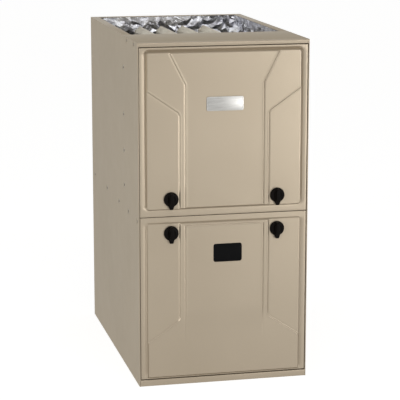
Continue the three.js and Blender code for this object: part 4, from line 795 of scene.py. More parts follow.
def lower_height(field):
    u0, u1, v0, v1 = field
    outer = v0 + LOWER_WING_OUTER
    inner = v0 + LOWER_WING_INNER
    past_side, past_top, past_bottom = u1 + PAST_FIELD, v1 + PAST_FIELD, v0 - PAST_FIELD
    strip = mirrored([(WING_HALF_WIDTH, past_top), (WING_HALF_WIDTH, inner + 2 * WING_CORNER),
                      (WING_HALF_WIDTH + WING_CORNER, inner), (past_side, outer - WING_END),
                      (past_side, past_bottom)])
    centre = mirrored([(PANEL_HALF_WIDTH, v1 - PANEL_TOP_GAP), (PANEL_HALF_WIDTH, v0 + 30)])

    def height(points):
        field_distance = rounded_distance(points, u0, u1, v0, v1, FIELD_CORNER / 2)
        raised = np.full(len(points), WING_HEIGHT)
        raised = level(raised, signed_distance(points, strip), STRIP_HEIGHT)
        fade = smooth_step(points[:, 1] - (v0 + 130), 110)
        panel = STRIP_HEIGHT + (PANEL_HEIGHT - STRIP_HEIGHT) * fade
        raised = level(raised, signed_distance(points, centre), panel, fade)
        sides = smooth_step(v1 - 6 - points[:, 1], 12) * smooth_step(points[:, 1] - v0 - 6, 12)
        return pressed(raised, field_distance) - 0.5 * groove(field_distance) * sides

    return height


def upper_door():
    low, high = box_of("upper_door")
    field = (-FIELD_HALF_WIDTH, FIELD_HALF_WIDTH, low[2] + 18, high[2] - 10)
    xs = grid_lines(-high[0], high[0], COARSE_STEP, FINE_STEP, [(-206, -97), (97, 206)])
    zs = grid_lines(low[2], high[2], COARSE_STEP, FINE_STEP, [(458, 472), (485, 497), (700, high[2])])
    holes = knob_holes(["upper_left_knob", "upper_right_knob"])
    door = pan("upper_door_skin", high[0], low[2], high[2], CASE_FRONT, high[1], upper_height(field),
               xs, zs, holes)
    piece(door, "upper_door", "casing_paint", "upper_door")


def window_place():
    """The clear part of the lens, inside the flange that holds it behind the door."""
    low, high = box_of("window_lens")
    return low[0] + LENS_FLANGE, high[0] - LENS_FLANGE, low[2] + LENS_FLANGE, high[2] - LENS_FLANGE


def lower_door():
    low, high = box_of("lower_door")
    field = (-FIELD_HALF_WIDTH, FIELD_HALF_WIDTH, low[2] + 3, high[2] - 14)
    u0, u1, v0, v1 = window_place()
    xs = grid_lines(-high[0], high[0], COARSE_STEP, FINE_STEP,
                    [(-206, -97), (97, 206), (u0 - 6, u0 + 8), (u1 - 8, u1 + 6)])
    zs = grid_lines(low[2], high[2], COARSE_STEP, FINE_STEP,
                    [(low[2], 30), (100, 186), (v0 - 6, v0 + 8), (v1 - 8, v1 + 6), (397, 410),
                     (416, high[2])])
    holes = knob_holes(["lower_left_knob", "lower_right_knob"])
    holes.append(lambda points: rounded_distance(points, u0 - 0.3, u1 + 0.3, v0 - 0.3, v1 + 0.3, 6.3))
    door = pan("lower_door_skin", high[0], low[2], high[2], CASE_FRONT, high[1], lower_height(field),
               xs, zs, holes)
    middle = centre_of("door_switch_plunger")[0]
    tab = block("switch_tab", (middle - 10, high[1] - SHEET, box_of("door_switch_plunger")[0][2] - 7),
                (middle + 10, high[1], high[2] - SHEET))
    piece(door, "lower_door", "casing_paint", "lower_door")
    piece(tab, "lower_door", "casing_paint")


def sight_window():
    """A smoked lens with a slightly crowned face, level with the sheet round it."""
    low, high = box_of("window_lens")
    u0, u1, v0, v1 = window_place()
    lens = prism("sight_window_lens", "y", rounded_rectangle(u0, u1, v0, v1, 6, 10), low[1], high[1] - 1,
                 bevel=0.9, segments=4)
    flange = prism("lens_flange", "y", rounded_rectangle(low[0], high[0], low[2], high[2], 6), high[1] - 3,
                   high[1], bevel=0.4)
    piece(joined("sight_window", [lens, flange]), "lower_door", "dark_glass", "window_lens")


def nameplate():
    """A plain brushed plate with a raised rim and no lettering."""
    low, high = box_of("blank_nameplate")
    back = high[1]
    rim_outer = rounded_rectangle(low[0], high[0], low[2], high[2], 5, 8)
    plate = prism("blank_plate", "y", rim_outer, back, low[1] + 0.5, bevel=0.3)
    outer = prism("plate_rim", "y", rim_outer, back, low[1], bevel=0.35, segments=3)
    inner = prism("plate_field", "y",
                  rounded_rectangle(low[0] + 2.4, high[0] - 2.4, low[2] + 2.4, high[2] - 2.4, 3, 8),
                  back + 1, low[1] - 1, bevel=0)
    rim = cut(outer, inner)
    x, _, z = centre_of("blank_nameplate")
    rivets = [rod("plate_rivet", "y", (x + side * 41, 0, z), 1.5, low[1] + 0.05, back - 0.3, 0.4, 20)
              for side in (-1, 1)]
    piece(joined("blank_nameplate_front", [plate, rim, *rivets]), "upper_door", "brushed_plate",
          "blank_nameplate")


def knob(node):
    """A quarter-turn knob with a moulded skirt, a finger bar, a pointer lug, and its stem and latch bar."""
    low, high = box_of(node)
    x = centre_of(node)[0]
    z = high[2] - KNOB_RADIUS
    seat = CASE_FRONT - WING_HEIGHT - 0.3
    skirt = turned("skirt", "y", (x, 0, z), [
        (0, seat), (18.4, seat), (KNOB_RADIUS, seat - 0.8), (KNOB_RADIUS, seat - 3.4), (18.4, seat - 4.8),
        (17.0, seat - 5.6), (12.5, seat - 6.3), (11.2, seat - 7.0), (9.6, seat - 6.6), (0, seat - 6.4),
    ], 72, 50)
    bar = prism("bar", "y", [(x - 5.6, z - 17), (x + 5.6, z - 17), (x + 4.2, z + 17), (x - 4.2, z + 17)],
                seat - 5, low[1], bevel=2.0, segments=5)
    ribs = [prism("rib", "y", [(x + side * 6.6 - 1, z - 12), (x + side * 6.6 + 1, z - 12),
                               (x + side * 5.6 + 1, z + 12), (x + side * 5.6 - 1, z + 12)],
                  seat - 5, seat - 12, bevel=0.8, segments=3) for side in (-1, 1)]
    lug = prism("lug", "y", [(x - 8.5, z - 13), (x - 4.4, low[2]), (x + 4.4, low[2]), (x + 8.5, z - 13)],
                seat - 2.4, seat - 7.4, bevel=1.2, segments=4)
    stem = rod("stem", "y", (x, 0, z), 5, seat - 1, high[1], 0.5, 32)
    latch = block("latch", (x - 13, high[1] - 4, z - 4), (x + 13, high[1], z + 4), 0.6)
    piece(joined(node + "_moulding", [skirt, bar, *ribs, lug, stem, latch]), node, "black_plastic", node)


# ---------------------------------------------------------------- casing


def screw(y, z, hand):
    """A hex washer head screw that points away from the casing; its crown is level with the casing's side."""
    seat = hand * (CASE_HALF_WIDTH - DIMPLE_DEPTH)
    crown = hand * (CASE_HALF_WIDTH - 0.05)
    return [rod("washer", "x", (0, y, z), SCREW_WASHER, seat, seat + hand * 0.9, 0.3, 28),
            rod("head", "x", (0, y, z), SCREW_HEX, seat, crown, 0.5, 6)]


def screw_places():
    """Screws up the side at the vestibule, along the shelf, and under the top plate."""
    places = [(CASE_FRONT + 205, z) for z in (805, 682, 586, 493)]
    places += [(CASE_FRONT + y, 433) for y in (22, 148, 288, 476, 688)]
    places += [(CASE_FRONT + y, 880) for y in (55, 151)]
    return places


def casing_side(node, hand):
    """A wall with dimples for its screws, the flanges folded from its edges, and the screws."""
    places = screw_places()
    bands_y = [(y - 11, y + 11) for y, _ in places]
    bands_z = [(z - 11, z + 11) for _, z in places if z < 870] + [(866, CASE_TOP)]
    holes = []
    if hand > 0:
        for pipe, radius, reach in (("vent_pipe", VENT_HOLE, 42), ("gas_inlet_pipe", GAS_HOLE, 16)):
            _, y, z = centre_of(pipe)
            holes.append(round_hole(y, z, radius))
            bands_y.append((y - reach, y + reach))
            bands_z.append((z - reach, z + reach))
    ys = grid_lines(CASE_FRONT, CASE_BACK, WALL_STEP, WALL_FINE_STEP, bands_y)
    zs = grid_lines(0, CASE_TOP, WALL_STEP, WALL_FINE_STEP, bands_z)
    flat, faces = pierced_grid(ys, zs, holes)
    sunk = np.zeros(len(flat))
    for y, z in places:
        distance = np.hypot(flat[:, 0] - y, flat[:, 1] - z)
        sunk = np.maximum(sunk, DIMPLE_DEPTH * smooth_step(DIMPLE_RADIUS - distance - 2.2, 4.4))
    edge = np.minimum.reduce(
        [flat[:, 0] - CASE_FRONT, CASE_BACK - flat[:, 0], flat[:, 1], CASE_TOP - flat[:, 1]])
    calm = np.clip(edge / 60, 0, 1)
    waves = np.array([noise.noise(Vector((y * 0.006, z * 0.006, 3.0 * hand))) for y, z in flat])
    sunk += np.maximum(waves + 0.5, 0) * WAVE_DEPTH * calm * (sunk < 0.01)
    points = [(hand * (CASE_HALF_WIDTH - s), y, z) for (y, z), s in zip(flat, sunk)]
    faces = [tuple(face if hand > 0 else face[::-1]) for face in faces]
    parts = [solid_sheet(node + "_wall", points, faces)]
    stile_y = box_of("upper_door")[1][1] + 0.3
    for reach, y0, y1, z0, z1 in (
            (2 * SHEET, CASE_FRONT, CASE_FRONT + 12, 0, CASE_TOP),
            (21.2, stile_y, stile_y + SHEET, 18.2, 876.8),
            (22, CASE_FRONT + 208.3, CASE_BACK, CASE_TOP - SHEET, CASE_TOP),
            (25, CASE_FRONT + 40.3, CASE_BACK, 0, SHEET),
            (16, CASE_BACK - SHEET, CASE_BACK, 0, CASE_TOP)):
        x0, x1 = sorted((hand * (CASE_HALF_WIDTH - SHEET), hand * (CASE_HALF_WIDTH - reach)))
        parts.append(block("flange", (x0, y0, z0), (x1, y1, z1), 0.35))
    piece(held_inside(joined(node + "_panel", parts), node), "root", "casing_paint", node)
    zinc_piece(node + "_screws", [part for y, z in places for part in screw(y, z, hand)])


# ---------------------------------------------------------------- foil liner


def creased_foil():
    """One crumpled foil blanket round the left side, the back and the right side of the cells."""
    low, high = box_of("casing_liner")
    draw = random.Random(11)
    inner = high[0] - FOIL_THICKNESS
    back = high[1] - FOIL_THICKNESS
    corner = 18.0
    depth = back - low[1]
    straight = depth - corner
    arc = corner * math.pi / 2
    across = 2 * (inner - corner)
    length = 2 * (straight + arc) + across

    def at(distance, lift):
        """The place on the inner face, with lift towards the wall; distance runs from front left."""
        if distance > length / 2:
            x, y = at(length - distance, lift)
            return -x, y
        if distance < straight:
            return -inner - lift, low[1] + distance
        if distance < straight + arc:
            turn = (distance - straight) / corner
            radius = corner + lift
            return -inner + corner - radius * math.cos(turn), back - corner + radius * math.sin(turn)
        return -inner + corner + distance - straight - arc, back + lift

    columns = round(length / FOIL_CREASE_STEP)
    rows = round((high[2] - low[2]) / FOIL_CREASE_STEP)
    inside, wall = [], []
    for column in range(columns + 1):
        for row in range(rows + 1):
            edge_u = column in (0, columns)
            edge_v = row in (0, rows)
            u = length * column / columns + (0 if edge_u else draw.uniform(-4.5, 4.5))
            v = low[2] + (high[2] - low[2]) * row / rows + (0 if edge_v else draw.uniform(-4.5, 4.5))
            swell = noise.noise(Vector((u * 0.012, v * 0.012, 5))) * 3.0
            lift = max(0.3, 4.5 + swell + draw.uniform(-0.8, 0.6) * FOIL_CREASE_DEPTH)
            if row > rows - 2:
                lift = 1.0 + draw.uniform(0, 2.0)
            lift = min(lift, FOIL_THICKNESS - 2)
            x, y = at(min(max(u, 0), length), lift)
            inside.append((x, y, v))
            x, y = at(length * column / columns, FOIL_THICKNESS)
            wall.append((max(-high[0], min(high[0], x)), min(high[1], y),
                         low[2] + (high[2] - low[2]) * row / rows))
    stride = rows + 1
    offset = len(inside)
    faces = []
    for column in range(columns):
        for row in range(rows):
            a = column * stride + row
            b, c, d = a + stride, a + stride + 1, a + 1
            if draw.random() < 0.5:
                faces += [(a, b, c), (a, c, d)]
            else:
                faces += [(a, b, d), (b, c, d)]
            faces.append((offset + a, offset + d, offset + c, offset + b))
    rim = [column * stride for column in range(columns)] + [columns * stride + row for row in range(rows)]
    rim += [column * stride + rows for column in range(columns, 0, -1)] + list(range(rows, 0, -1))
    faces += [(one, two, offset + two, offset + one) for one, two in zip(rim, rim[1:] + rim[:1])]
    blanket = new_object("foil_blanket", inside + wall, faces, 8)
    piece(blanket, "root", "foil_insulation", "casing_liner")


# ---------------------------------------------------------------- heat exchanger


def passage_outline(front, back, bottom):
    """The serpentine of a cell in Y and Z, as its four passes are joined in turn at the back and in front."""
    rim, gap, bend = 4, 26, 84
    near, far = front + rim, back - rim
    low = bottom + rim
    heights = (110, 90, 74, 60)
    front_edge, back_edge = [], []
    for index, height in enumerate(heights):
        roof = low + height
        if index == 0:
            front_edge.append((near, low))
            back_edge.append((far, low))
        if index == len(heights) - 1:
            front_edge.append((near, roof))
            back_edge.append((far, roof))
        elif index % 2 == 0:
            front_edge += [(near, roof), (far - bend, roof), (far - bend, roof + gap), (near, roof + gap)]
        else:
            back_edge += [(far, roof), (near + bend, roof), (near + bend, roof + gap), (far, roof + gap)]
        low = roof + gap
    return back_edge + front_edge[::-1]


def cell(node, number):
    """Two pressed clamshell halves with a crimped seam round the passage and rows of dimples."""
    low, high = box_of(node)
    middle = centre_of(node)[0]
    bulge = (high[0] - low[0]) / 2
    front = low[1] + 1.2
    ys = np.linspace(front, high[1], 92)
    zs = np.linspace(low[2], high[2], 88)
    flat, faces = pierced_grid(ys, zs, [])
    distance = signed_distance(flat, passage_outline(front, high[1], low[2]))
    share = 1 - np.clip(distance, 0, CELL_SHOULDER) / CELL_SHOULDER
    swell = (bulge - 1.2) * np.sqrt(np.clip(1 - share ** 2, 0, 1))
    for z in (low[2] + 59, low[2] + 185, low[2] + 293, low[2] + 386):
        for y in np.arange(front + 60, high[1] - 50, 58):
            away = np.hypot(flat[:, 0] - y, flat[:, 1] - z)
            swell -= CELL_DIMPLE * np.exp(-(away / 9.0) ** 2)
    swell = np.maximum(swell, 0)
    halves = []
    for hand in (-1, 1):
        points = [(middle + hand * (1.2 + s), y, z) for (y, z), s in zip(flat, swell)]
        turned_faces = [tuple(face if hand > 0 else face[::-1]) for face in faces]
        halves.append(solid_sheet("half", points, turned_faces, 1.0))
    seam = [block("seam", (middle - SEAM_HALF_WIDTH, y0, z0), (middle + SEAM_HALF_WIDTH, y1, z1), 0.7)
            for y0, y1, z0, z1 in (
                (high[1] - CELL_SEAM, high[1], low[2], high[2]),
                (front, high[1], high[2] - CELL_SEAM, high[2]),
                (front, high[1], low[2], low[2] + CELL_SEAM),
                (front, front + CELL_SEAM, low[2], high[2]))]
    ports = [turned("port", "y", (middle, 0, z), [
        (15.8, low[1]), (17, low[1]), (17, front + 14), (15.8, front + 14)], 40)
        for z in (low[2] + 4 + 55, high[2] - 4 - 30)]
    piece(joined(f"cell_{number}_clamshell", [*halves, *seam, *ports]), "root", "aluminised_steel", node)


# ---------------------------------------------------------------- top plate and base rail


def folded_strip(name, half_width, profile, thickness=SHEET):
    """A sheet folded along X; profile holds its outer side in Y and Z, from front to back."""
    points, faces = [], []
    columns = (-half_width, -half_width + 1.0, 0, half_width - 1.0, half_width)
    for x in columns:
        points += [(x, y, z) for y, z in profile]
    count = len(profile)
    for column in range(len(columns) - 1):
        for row in range(count - 1):
            a = column * count + row
            faces.append((a, a + count, a + count + 1, a + 1))
    return solid_sheet(name, points, faces, thickness)


def bend(centre, radius, start, end, steps=6):
    """Points of a fold in Y and Z, from one angle to another; 180 looks to the front and 90 up."""
    turns = [math.radians(start + (end - start) * step / steps) for step in range(steps + 1)]
    return [(centre[0] + radius * math.cos(turn), centre[1] + radius * math.sin(turn)) for turn in turns]


def top_front_plate():
    """The plate over the doors: a hem, a lip that leans in a little, a round front edge and a bead."""
    low, high = box_of("top_front_plate")
    front, back, top = low[1], high[1], high[2]
    lip_bottom = box_of("upper_door")[1][2] + 1.6
    fold = 3.4
    profile = [(front + 9, lip_bottom + 0.2), (front + 3.2, lip_bottom)]
    profile += bend((front + 2.6, lip_bottom + 1.4), 1.4, 270, 180)
    profile += [(front + 0.5, lip_bottom + 5)]
    profile += bend((front + fold, top - fold), fold, 180, 90, 8)
    bead = front + 15
    profile += [(bead - 3, top), (bead - 1.2, top - 0.9), (bead, top - 1.3), (bead + 1.2, top - 0.9),
                (bead + 3, top)]
    profile += [(back - 1.2, top)] + bend((back - 1.2, top - 1.2), 1.2, 90, 0, 4) + [(back, top - 14)]
    plate = folded_strip("top_front_plate_skin", high[0], profile)
    stop = block("door_stop", (-high[0], front + 20, low[2]), (high[0], front + 20 + SHEET, top - SHEET), 0.3)
    piece(joined("top_front_plate_sheet", [plate, stop]), "root", "casing_paint", "top_front_plate")


def base_rail():
    low, high = box_of("base_rail")
    front, back, top = low[1], high[1], high[2]
    fold = 2.2
    profile = [(back, low[2] + SHEET), (back - 0.2, low[2])] + [(front + fold, low[2])]
    profile += bend((front + fold, low[2] + fold), fold, 270, 180)
    profile += bend((front + fold, top - fold), fold, 180, 90) + [(front + 21, top)]
    rail = folded_strip("base_rail_skin", high[0], profile)
    piece(held_inside(rail, "base_rail"), "root", "casing_paint", "base_rail")


# ---------------------------------------------------------------- fasteners inside


def front_screw(x, y, z, radius=4.0):
    """A hex washer head screw that stands on a face looking to the front at y."""
    return [rod("washer", "y", (x, 0, z), radius, y - 1.0, y, 0.3, 24),
            rod("head", "y", (x, 0, z), radius * 0.76, y - 3.6, y - 0.6, 0.4, 6)]


def screw_group(name, places):
    zinc_piece(name, [part for place in places for part in front_screw(*place)])


def fasteners():
    face = box_of("burner_1")[1][1] - SHEET
    vestibule = box_of("vestibule_panel")[0][1]
    screw_group("vestibule_screws", [(side * 211, vestibule, z) for side in (-1, 1) for z in (600, 740, 850)])
    low, high = box_of("collector_box")
    screw_group("collector_screws", [(x, face, z) for x in (low[0] + 5, high[0] - 5)
                                     for z in (low[2] + 22, low[2] + 60)])
    x, _, z = centre_of("inducer_motor")
    front = box_of("inducer_housing")[0][1]
    rim = [math.radians(turn) for turn in (30, 100, 160, 215, 265, 320)]
    screw_group("inducer_screws", [(x + 62 * math.cos(turn), front, z + 62 * math.sin(turn), 3.4)
                                   for turn in rim])
    low, high = box_of("burner_bracket")
    screw_group("burner_bracket_screws", [(side * (high[0] - 6), face, z) for side in (-1, 1)
                                          for z in (low[2] + 8, high[2] - 8)])
    low, high = box_of("control_panel")
    screw_group("control_panel_screws", [(side * (high[0] - 9), low[1], z) for side in (-1, 1)
                                         for z in (low[2] + 14, high[2] - 18)])
    for hand in ("left", "right"):
        low, high = box_of(f"latch_bracket_{hand}")
        middle = (low[0] + high[0]) / 2
        screw_group(f"latch_{hand}_screws", [(middle + x, low[1], z, 3.2) for x in (-16, 16)
                                             for z in (low[2] + 56, high[2] - 56)])


# ---------------------------------------------------------------- blower


def scroll_outline(start_radius, end_radius, cutoff, outlet, inset=0.0, steps=72):
    """A blower's scroll seen along its axis: a spiral from the cut-off round to a straight outlet."""
    spiral = []
    for step in range(steps + 1):
        share = step / steps
        turn = math.radians(cutoff - (180 + cutoff) * share)
        radius = start_radius + (end_radius - start_radius) * share - inset
        spiral.append((radius * math.cos(turn), radius * math.sin(turn)))
    return [(spiral[0][0], outlet)] + spiral + [(-end_radius + inset, outlet)]


def blower_housing():
    """A smooth wrap between two sides, each with a rolled inlet mouth and a flange on top."""
    low, high = box_of("blower_scroll")
    _, y, z = centre_of("blower_wheel")
    start_radius = (high[1] - y) * SCROLL_START_SHARE
    spiral = scroll_outline(start_radius, y - low[1], BLOWER_CUTOFF, high[2] - z)
    outline = [(y + u, z + v) for u, v in spiral]
    columns = (low[0], low[0] + 4, high[0] - 4, high[0])
    points = [(x, *place) for x in columns for place in outline]
    count = len(outline)
    corners = [row * count + index for row in range(len(columns) - 1) for index in range(count - 1)]
    faces = [(corner, corner + count, corner + count + 1, corner + 1) for corner in corners]
    piece(solid_sheet("blower_wrap", points, faces), "root", "galvanised_steel", "blower_scroll")
    for name, hand in (("blower_side_left", -1), ("blower_side_right", 1)):
        inner, outer = [box_of(name)[end][0] for end in ((1, 0) if hand < 0 else (0, 1))]
        wall = prism("wall", "x", outline, inner, inner + hand * SHEET, bevel=0)
        wall = cut(wall, rod("opening", "x", (0, y, z), BLOWER_INLET, inner - 5, inner + 5, 0.01, 96))
        mouth = turned("mouth", "x", (0, y, z), [
            (BLOWER_INLET + radius, inner + hand * along) for radius, along in (
                (0, 0), (0, 4.6), (0.7, 6.2), (1.8, 6.6), (1.8, 5.2), (1.4, SHEET), (0.6, 0))], 96)
        x0, x1 = sorted((inner, outer))
        flange = block("flange", (x0, low[1], high[2] - SHEET), (x1, outline[0][0], high[2]), 0.3)
        piece(joined(name + "_panel", [wall, mouth, flange]), "root", "galvanised_steel", name)


def inducer_housing():
    """A hollow scroll with round edges, an inlet at the back, a shaft hole and the pressure tube's tap."""
    low, high = box_of("inducer_housing")
    x, _, z = centre_of("inducer_wheel")
    outlet = high[0] - x
    shapes = []
    for inset, beyond in ((0.0, 0.0), (SHEET, 1.0)):
        outline = scroll_outline(INDUCER_START, high[2] - z, INDUCER_CUTOFF, outlet + beyond, inset)
        shapes.append([(x + v, z - u) for u, v in outline])
    body = prism("body", "y", shapes[0], high[1], low[1], bevel=3.2, segments=4)
    hollow = prism("hollow", "y", shapes[1], high[1] - SHEET, low[1] + SHEET, bevel=2.6, segments=2)
    inlet = rod("inlet", "y", (x, 0, z), 38, high[1] - 3, high[1] + 2, 0.01, 64)
    shaft = rod("shaft_hole", "y", (x, 0, z), 7, low[1] - 2, low[1] + 3, 0.01, 32)
    body = cut(body, hollow, inlet, shaft)
    tap_z = box_of("pressure_tube")[1][2] - TUBE_RADIUS
    tap = rod("tap", "x", (0, (low[1] + high[1]) / 2, tap_z), TUBE_RADIUS - 1, low[0],
              x - INDUCER_START + 2, 0.4, 20)
    piece(joined("inducer_scroll", [body, tap]), "root", "black_steel", "inducer_housing")


def pressure_switch():
    """A diaphragm switch on its bracket: a ribbed disc with a rolled rim, its port and two blades."""
    low, high = box_of("pressure_switch")
    x = centre_of("pressure_switch")[0]
    radius = (high[0] - low[0]) / 2
    z = high[2] - 48
    back, front = high[1], low[1]
    disc = turned("disc", "y", (x, 0, z), [
        (0, front), (18, front), (20, front + 1.6), (21, front + 9), (24, front + 12), (30, front + 15),
        (36, front + 16.5), (radius - 1, front + 17), (radius, front + 18), (radius, front + 22),
        (radius - 1, front + 23), (35, front + 24), (32, back - 4), (0, back - 4)], 72, 28)
    ribs = spun(12, "Y", (x, 0, z), (-0.8, front + 10.5, 21), (0.8, front + 17.5, 36))
    bracket = block("bracket", (x - 30, back - SHEET, low[2]), (x + 30, back, z + 46), 0.4)
    post = rod("post", "y", (x, 0, z), 12, back - 6, back - 0.6, 0.3, 32)
    port = rod("port", "z", (x, back - 24, 0), TUBE_RADIUS - 1, z + radius - 4, high[2], 0.4, 20)
    blades = [block("blade", (x + side * 8 - 0.4, front, z - 4), (x + side * 8 + 0.4, front + 3, z + 4), 0.1)
              for side in (-1, 1)]
    piece(joined("pressure_switch_body", [disc, *ribs, bracket, post, port, *blades]), "root",
          "cast_aluminium", "pressure_switch")


def blower_wheel():
    """A squirrel-cage wheel: forward-curved blades between two rolled end rings."""
    low, high = box_of("blower_wheel")
    _, y, z = centre_of("blower_wheel")
    outer = (high[2] - low[2]) / 2
    inner = outer - 19
    parts = []
    for blade in range(BLADES):
        start = 2 * math.pi * blade / BLADES
        front_side, back_side = [], []
        for step in range(BLADE_STEPS + 1):
            share = step / BLADE_STEPS
            radius = inner + 1 + (outer - inner - 4) * share
            turn = start + 0.16 * share ** 1.8
            beyond = turn + BLADE_THICKNESS / radius
            front_side.append((y + radius * math.cos(turn), z + radius * math.sin(turn)))
            back_side.append((y + radius * math.cos(beyond), z + radius * math.sin(beyond)))
        parts.append(prism("blade", "x", front_side + back_side[::-1], low[0] + 2, high[0] - 2, bevel=0))
    for end, inward in ((low[0], 1), (high[0], -1)):
        parts.append(turned("ring", "x", (0, y, z), [
            (outer - 3.5, end), (outer - 0.8, end + inward * 0.6), (outer, end + inward * 3),
            (outer, end + inward * 7.5), (outer - 1.4, end + inward * 8), (outer - 1.4, end + inward * 3.4),
            (outer - 4, end + inward * 1.4), (inner, end + inward * 1.4), (inner, end)], 72))
    piece(joined("blower_cage", parts), "blower_rotor", "galvanised_steel", "blower_wheel")


def blower_motor():
    """A motor shell with a rolled bead and vent slots in its end bell."""
    low, high = box_of("blower_motor")
    _, y, z = centre_of("blower_motor")
    radius = (high[2] - low[2]) / 2
    back, front = low[0], high[0]
    shell = turned("shell", "x", (0, y, z), [
        (0, back), (radius * 0.3, back), (radius * 0.34, back + 3), (radius * 0.62, back + 4),
        (radius * 0.9, back + 10), (radius * 0.98, back + 16), (radius, back + 18), (radius, back + 30),
        (radius - 1.5, back + 32), (radius - 1.5, back + 35), (radius, back + 37), (radius, front - 22),
        (radius - 2, front - 20), (radius * 0.9, front - 8), (radius * 0.68, front),
        (9.5, front), (9.5, front - 38), (0, front - 38)], 72)
    slots = spun(16, "X", (0, y, z), (back - 2, -2.2, radius * 0.44), (back + 7, 2.2, radius * 0.8), 0.8)
    piece(cut(shell, joined("slots", slots)), "root", "motor_paint", "blower_motor")


# ---------------------------------------------------------------- inducer and burners


def inducer_motor():
    """A shaded-pole motor: a ribbed shell with a vented cap, and two feet bolted to the housing."""
    low, high = box_of("inducer_motor")
    x, _, z = centre_of("inducer_motor")
    radius = INDUCER_MOTOR_RADIUS
    front, back = low[1], high[1]
    profile = [(0, front), (13, front), (15, front + 2), (30, front + 3.5), (radius - 3, front + 9),
               (radius, front + 14)]
    for rib in range(7):
        place = front + 16 + rib * 5
        profile += [(radius, place), (radius, place + 2.4), (radius - 2.2, place + 2.8),
                    (radius - 2.2, place + 4.6)]
    profile += [(radius, back - 6), (radius, back - 4), (radius * 0.7, back), (0, back)]
    shell = turned("motor_shell", "y", (x, 0, z), profile, 64, 25)
    slots = spun(12, "Y", (x, 0, z), (-2, front - 2, 18), (2, front + 6, 33), 0.8)
    parts, bolts = [cut(shell, joined("slots", slots))], []
    for side in (-1, 1):
        foot = x + side * (radius + 0.5)
        parts.append(block("foot", (foot - 5, back - 4.2, z - 7), (foot + 5, back, z + 7), 0.8))
        bolts += front_screw(x + side * (radius + 2.6), back - 4.2, z, 2.6)
    piece(joined("inducer_motor_shell", parts), "root", "motor_paint", "inducer_motor")
    zinc_piece("inducer_motor_bolts", bolts)


def burner(node, number):
    """An inshot burner: a flared mouth, a throat, a spreading head and its flame holder."""
    low, high = box_of(node)
    x, _, z = centre_of(node)
    front, back, bell = low[1], high[1], (high[2] - low[2]) / 2
    outer = [(bell, front), (bell - 0.4, front + 3), (bell - 3.4, front + 11), (10.2, front + 22),
             (8.6, front + 32), (8.6, front + 42), (10.5, front + 54), (15, front + 66), (15, back)]
    profile = outer + [(radius - BURNER_WALL, along) for radius, along in reversed(outer)]
    body = turned("burner", "y", (x, 0, z), profile, 48, 40)
    start, end = back - 6, back - 2
    vanes = spun(6, "Y", (x, 0, z), (-0.6, start, 3), (0.6, end, 13.8), 0)
    hub = turned("hub", "y", (x, 0, z), [(3, start), (4.4, start), (4.4, end), (3, end)], 24)
    piece(joined(f"burner_{number}_tube", [body, *vanes, hub]), "root", "aluminised_steel", node)


# ---------------------------------------------------------------- controls


def control_board_parts():
    """Small parts soldered to the control board, round its relays and plugs."""
    low, high = box_of("control_board")
    face = high[1] - BOARD_RELIEF
    draw = random.Random(5)
    black, pale, metal = [], [], []
    for column in range(3):
        for row in range(2):
            place = (low[0] + 26 + column * 22, 0, low[2] + 52 + row * 20)
            radius = 4.2 if row else 5.2
            metal.append(rod("can", "y", place, radius, face - 12, face, 0.5, 28))
            black.append(rod("sleeve", "y", place, radius + 0.4, face - 10.5, face - 0.4, 0.3, 28))
    for index in range(14):
        x, z = low[0] + 98 + (index % 2) * 14, low[2] + 40 + index * 4.6
        if z <= high[2] - 12:
            pale.append(rod("resistor", "x", (0, face - 1.6, z), 1.2, x - 3.4, x + 3.4, 0.4, 12))
            metal.append(rod("lead", "x", (0, face - 1.6, z), 0.35, x - 5, x + 5, 0.1, 8))
    for across, up, half, rise in ((84, 52, 9, 5), (84, 70, 6, 4), (116, 24, 7, 4)):
        x, z = low[0] + across, low[2] + up
        black.append(block("chip", (x - half, face - 3.2, z - rise), (x + half, face - 0.4, z + rise), 0.3))
        for pin in range(half):
            at = x - half + 1 + 2 * pin
            metal.append(block("pin", (at, face - 1.6, z - rise - 1.4),
                               (at + 0.8, face - 0.8, z + rise + 1.4), 0))
    for terminal in range(11):
        x, top = low[0] + 22 + terminal * TERMINAL_PITCH, high[2]
        metal.append(block("spade", (x - 2.4, face - 9, top - 7), (x + 2.4, face, top - 6.2), 0.1))
        if draw.random() < 0.5:
            black.append(block("cover", (x - 3, face - 6.5, top - 8.4), (x + 3, face - 0.5, top - 4.8), 0.4))
    piece(joined("board_black_parts", black), "root", "black_plastic")
    piece(joined("board_resistors", pale), "root", "ceramic")
    zinc_piece("board_leads", metal)
    lamp_low = (high[0] - 8, face - 4.5, low[2] + 12)
    piece(block("board_status_lamp", lamp_low, (high[0] - 4, face, low[2] + 16), 0.8), "root", "red_plastic")


def transformer():
    """A laminated core round a taped winding, on a stamped foot."""
    low, high = box_of("transformer")
    x, _, z = centre_of("transformer")
    back, front = high[1], low[1]
    parts = [block("foot", (low[0], back - 1.6, low[2]), (high[0], back, high[2]), 0.5)]
    start = back - 4
    pitch = (front + 10 - start) / LAMINATIONS
    for index in range(LAMINATIONS):
        y, inset = start + pitch * index, (index % 2) * 0.35
        parts.append(block("lamination", (low[0] + inset, y + pitch * 0.82, z - 30),
                           (high[0] - inset, y, z + 30), 0))
    piece(joined("transformer_core", parts), "root", "black_steel", "transformer")
    winding = block("transformer_winding", (low[0] + 14, front, z - 22),
                    (high[0] - 14, back - 2, z + 22), 3.0)
    piece(winding, "root", "ceramic")
    screw_group("transformer_screws", [(x, back - 1.6, at, 3.2) for at in (low[2] + 4.5, high[2] - 4.5)])


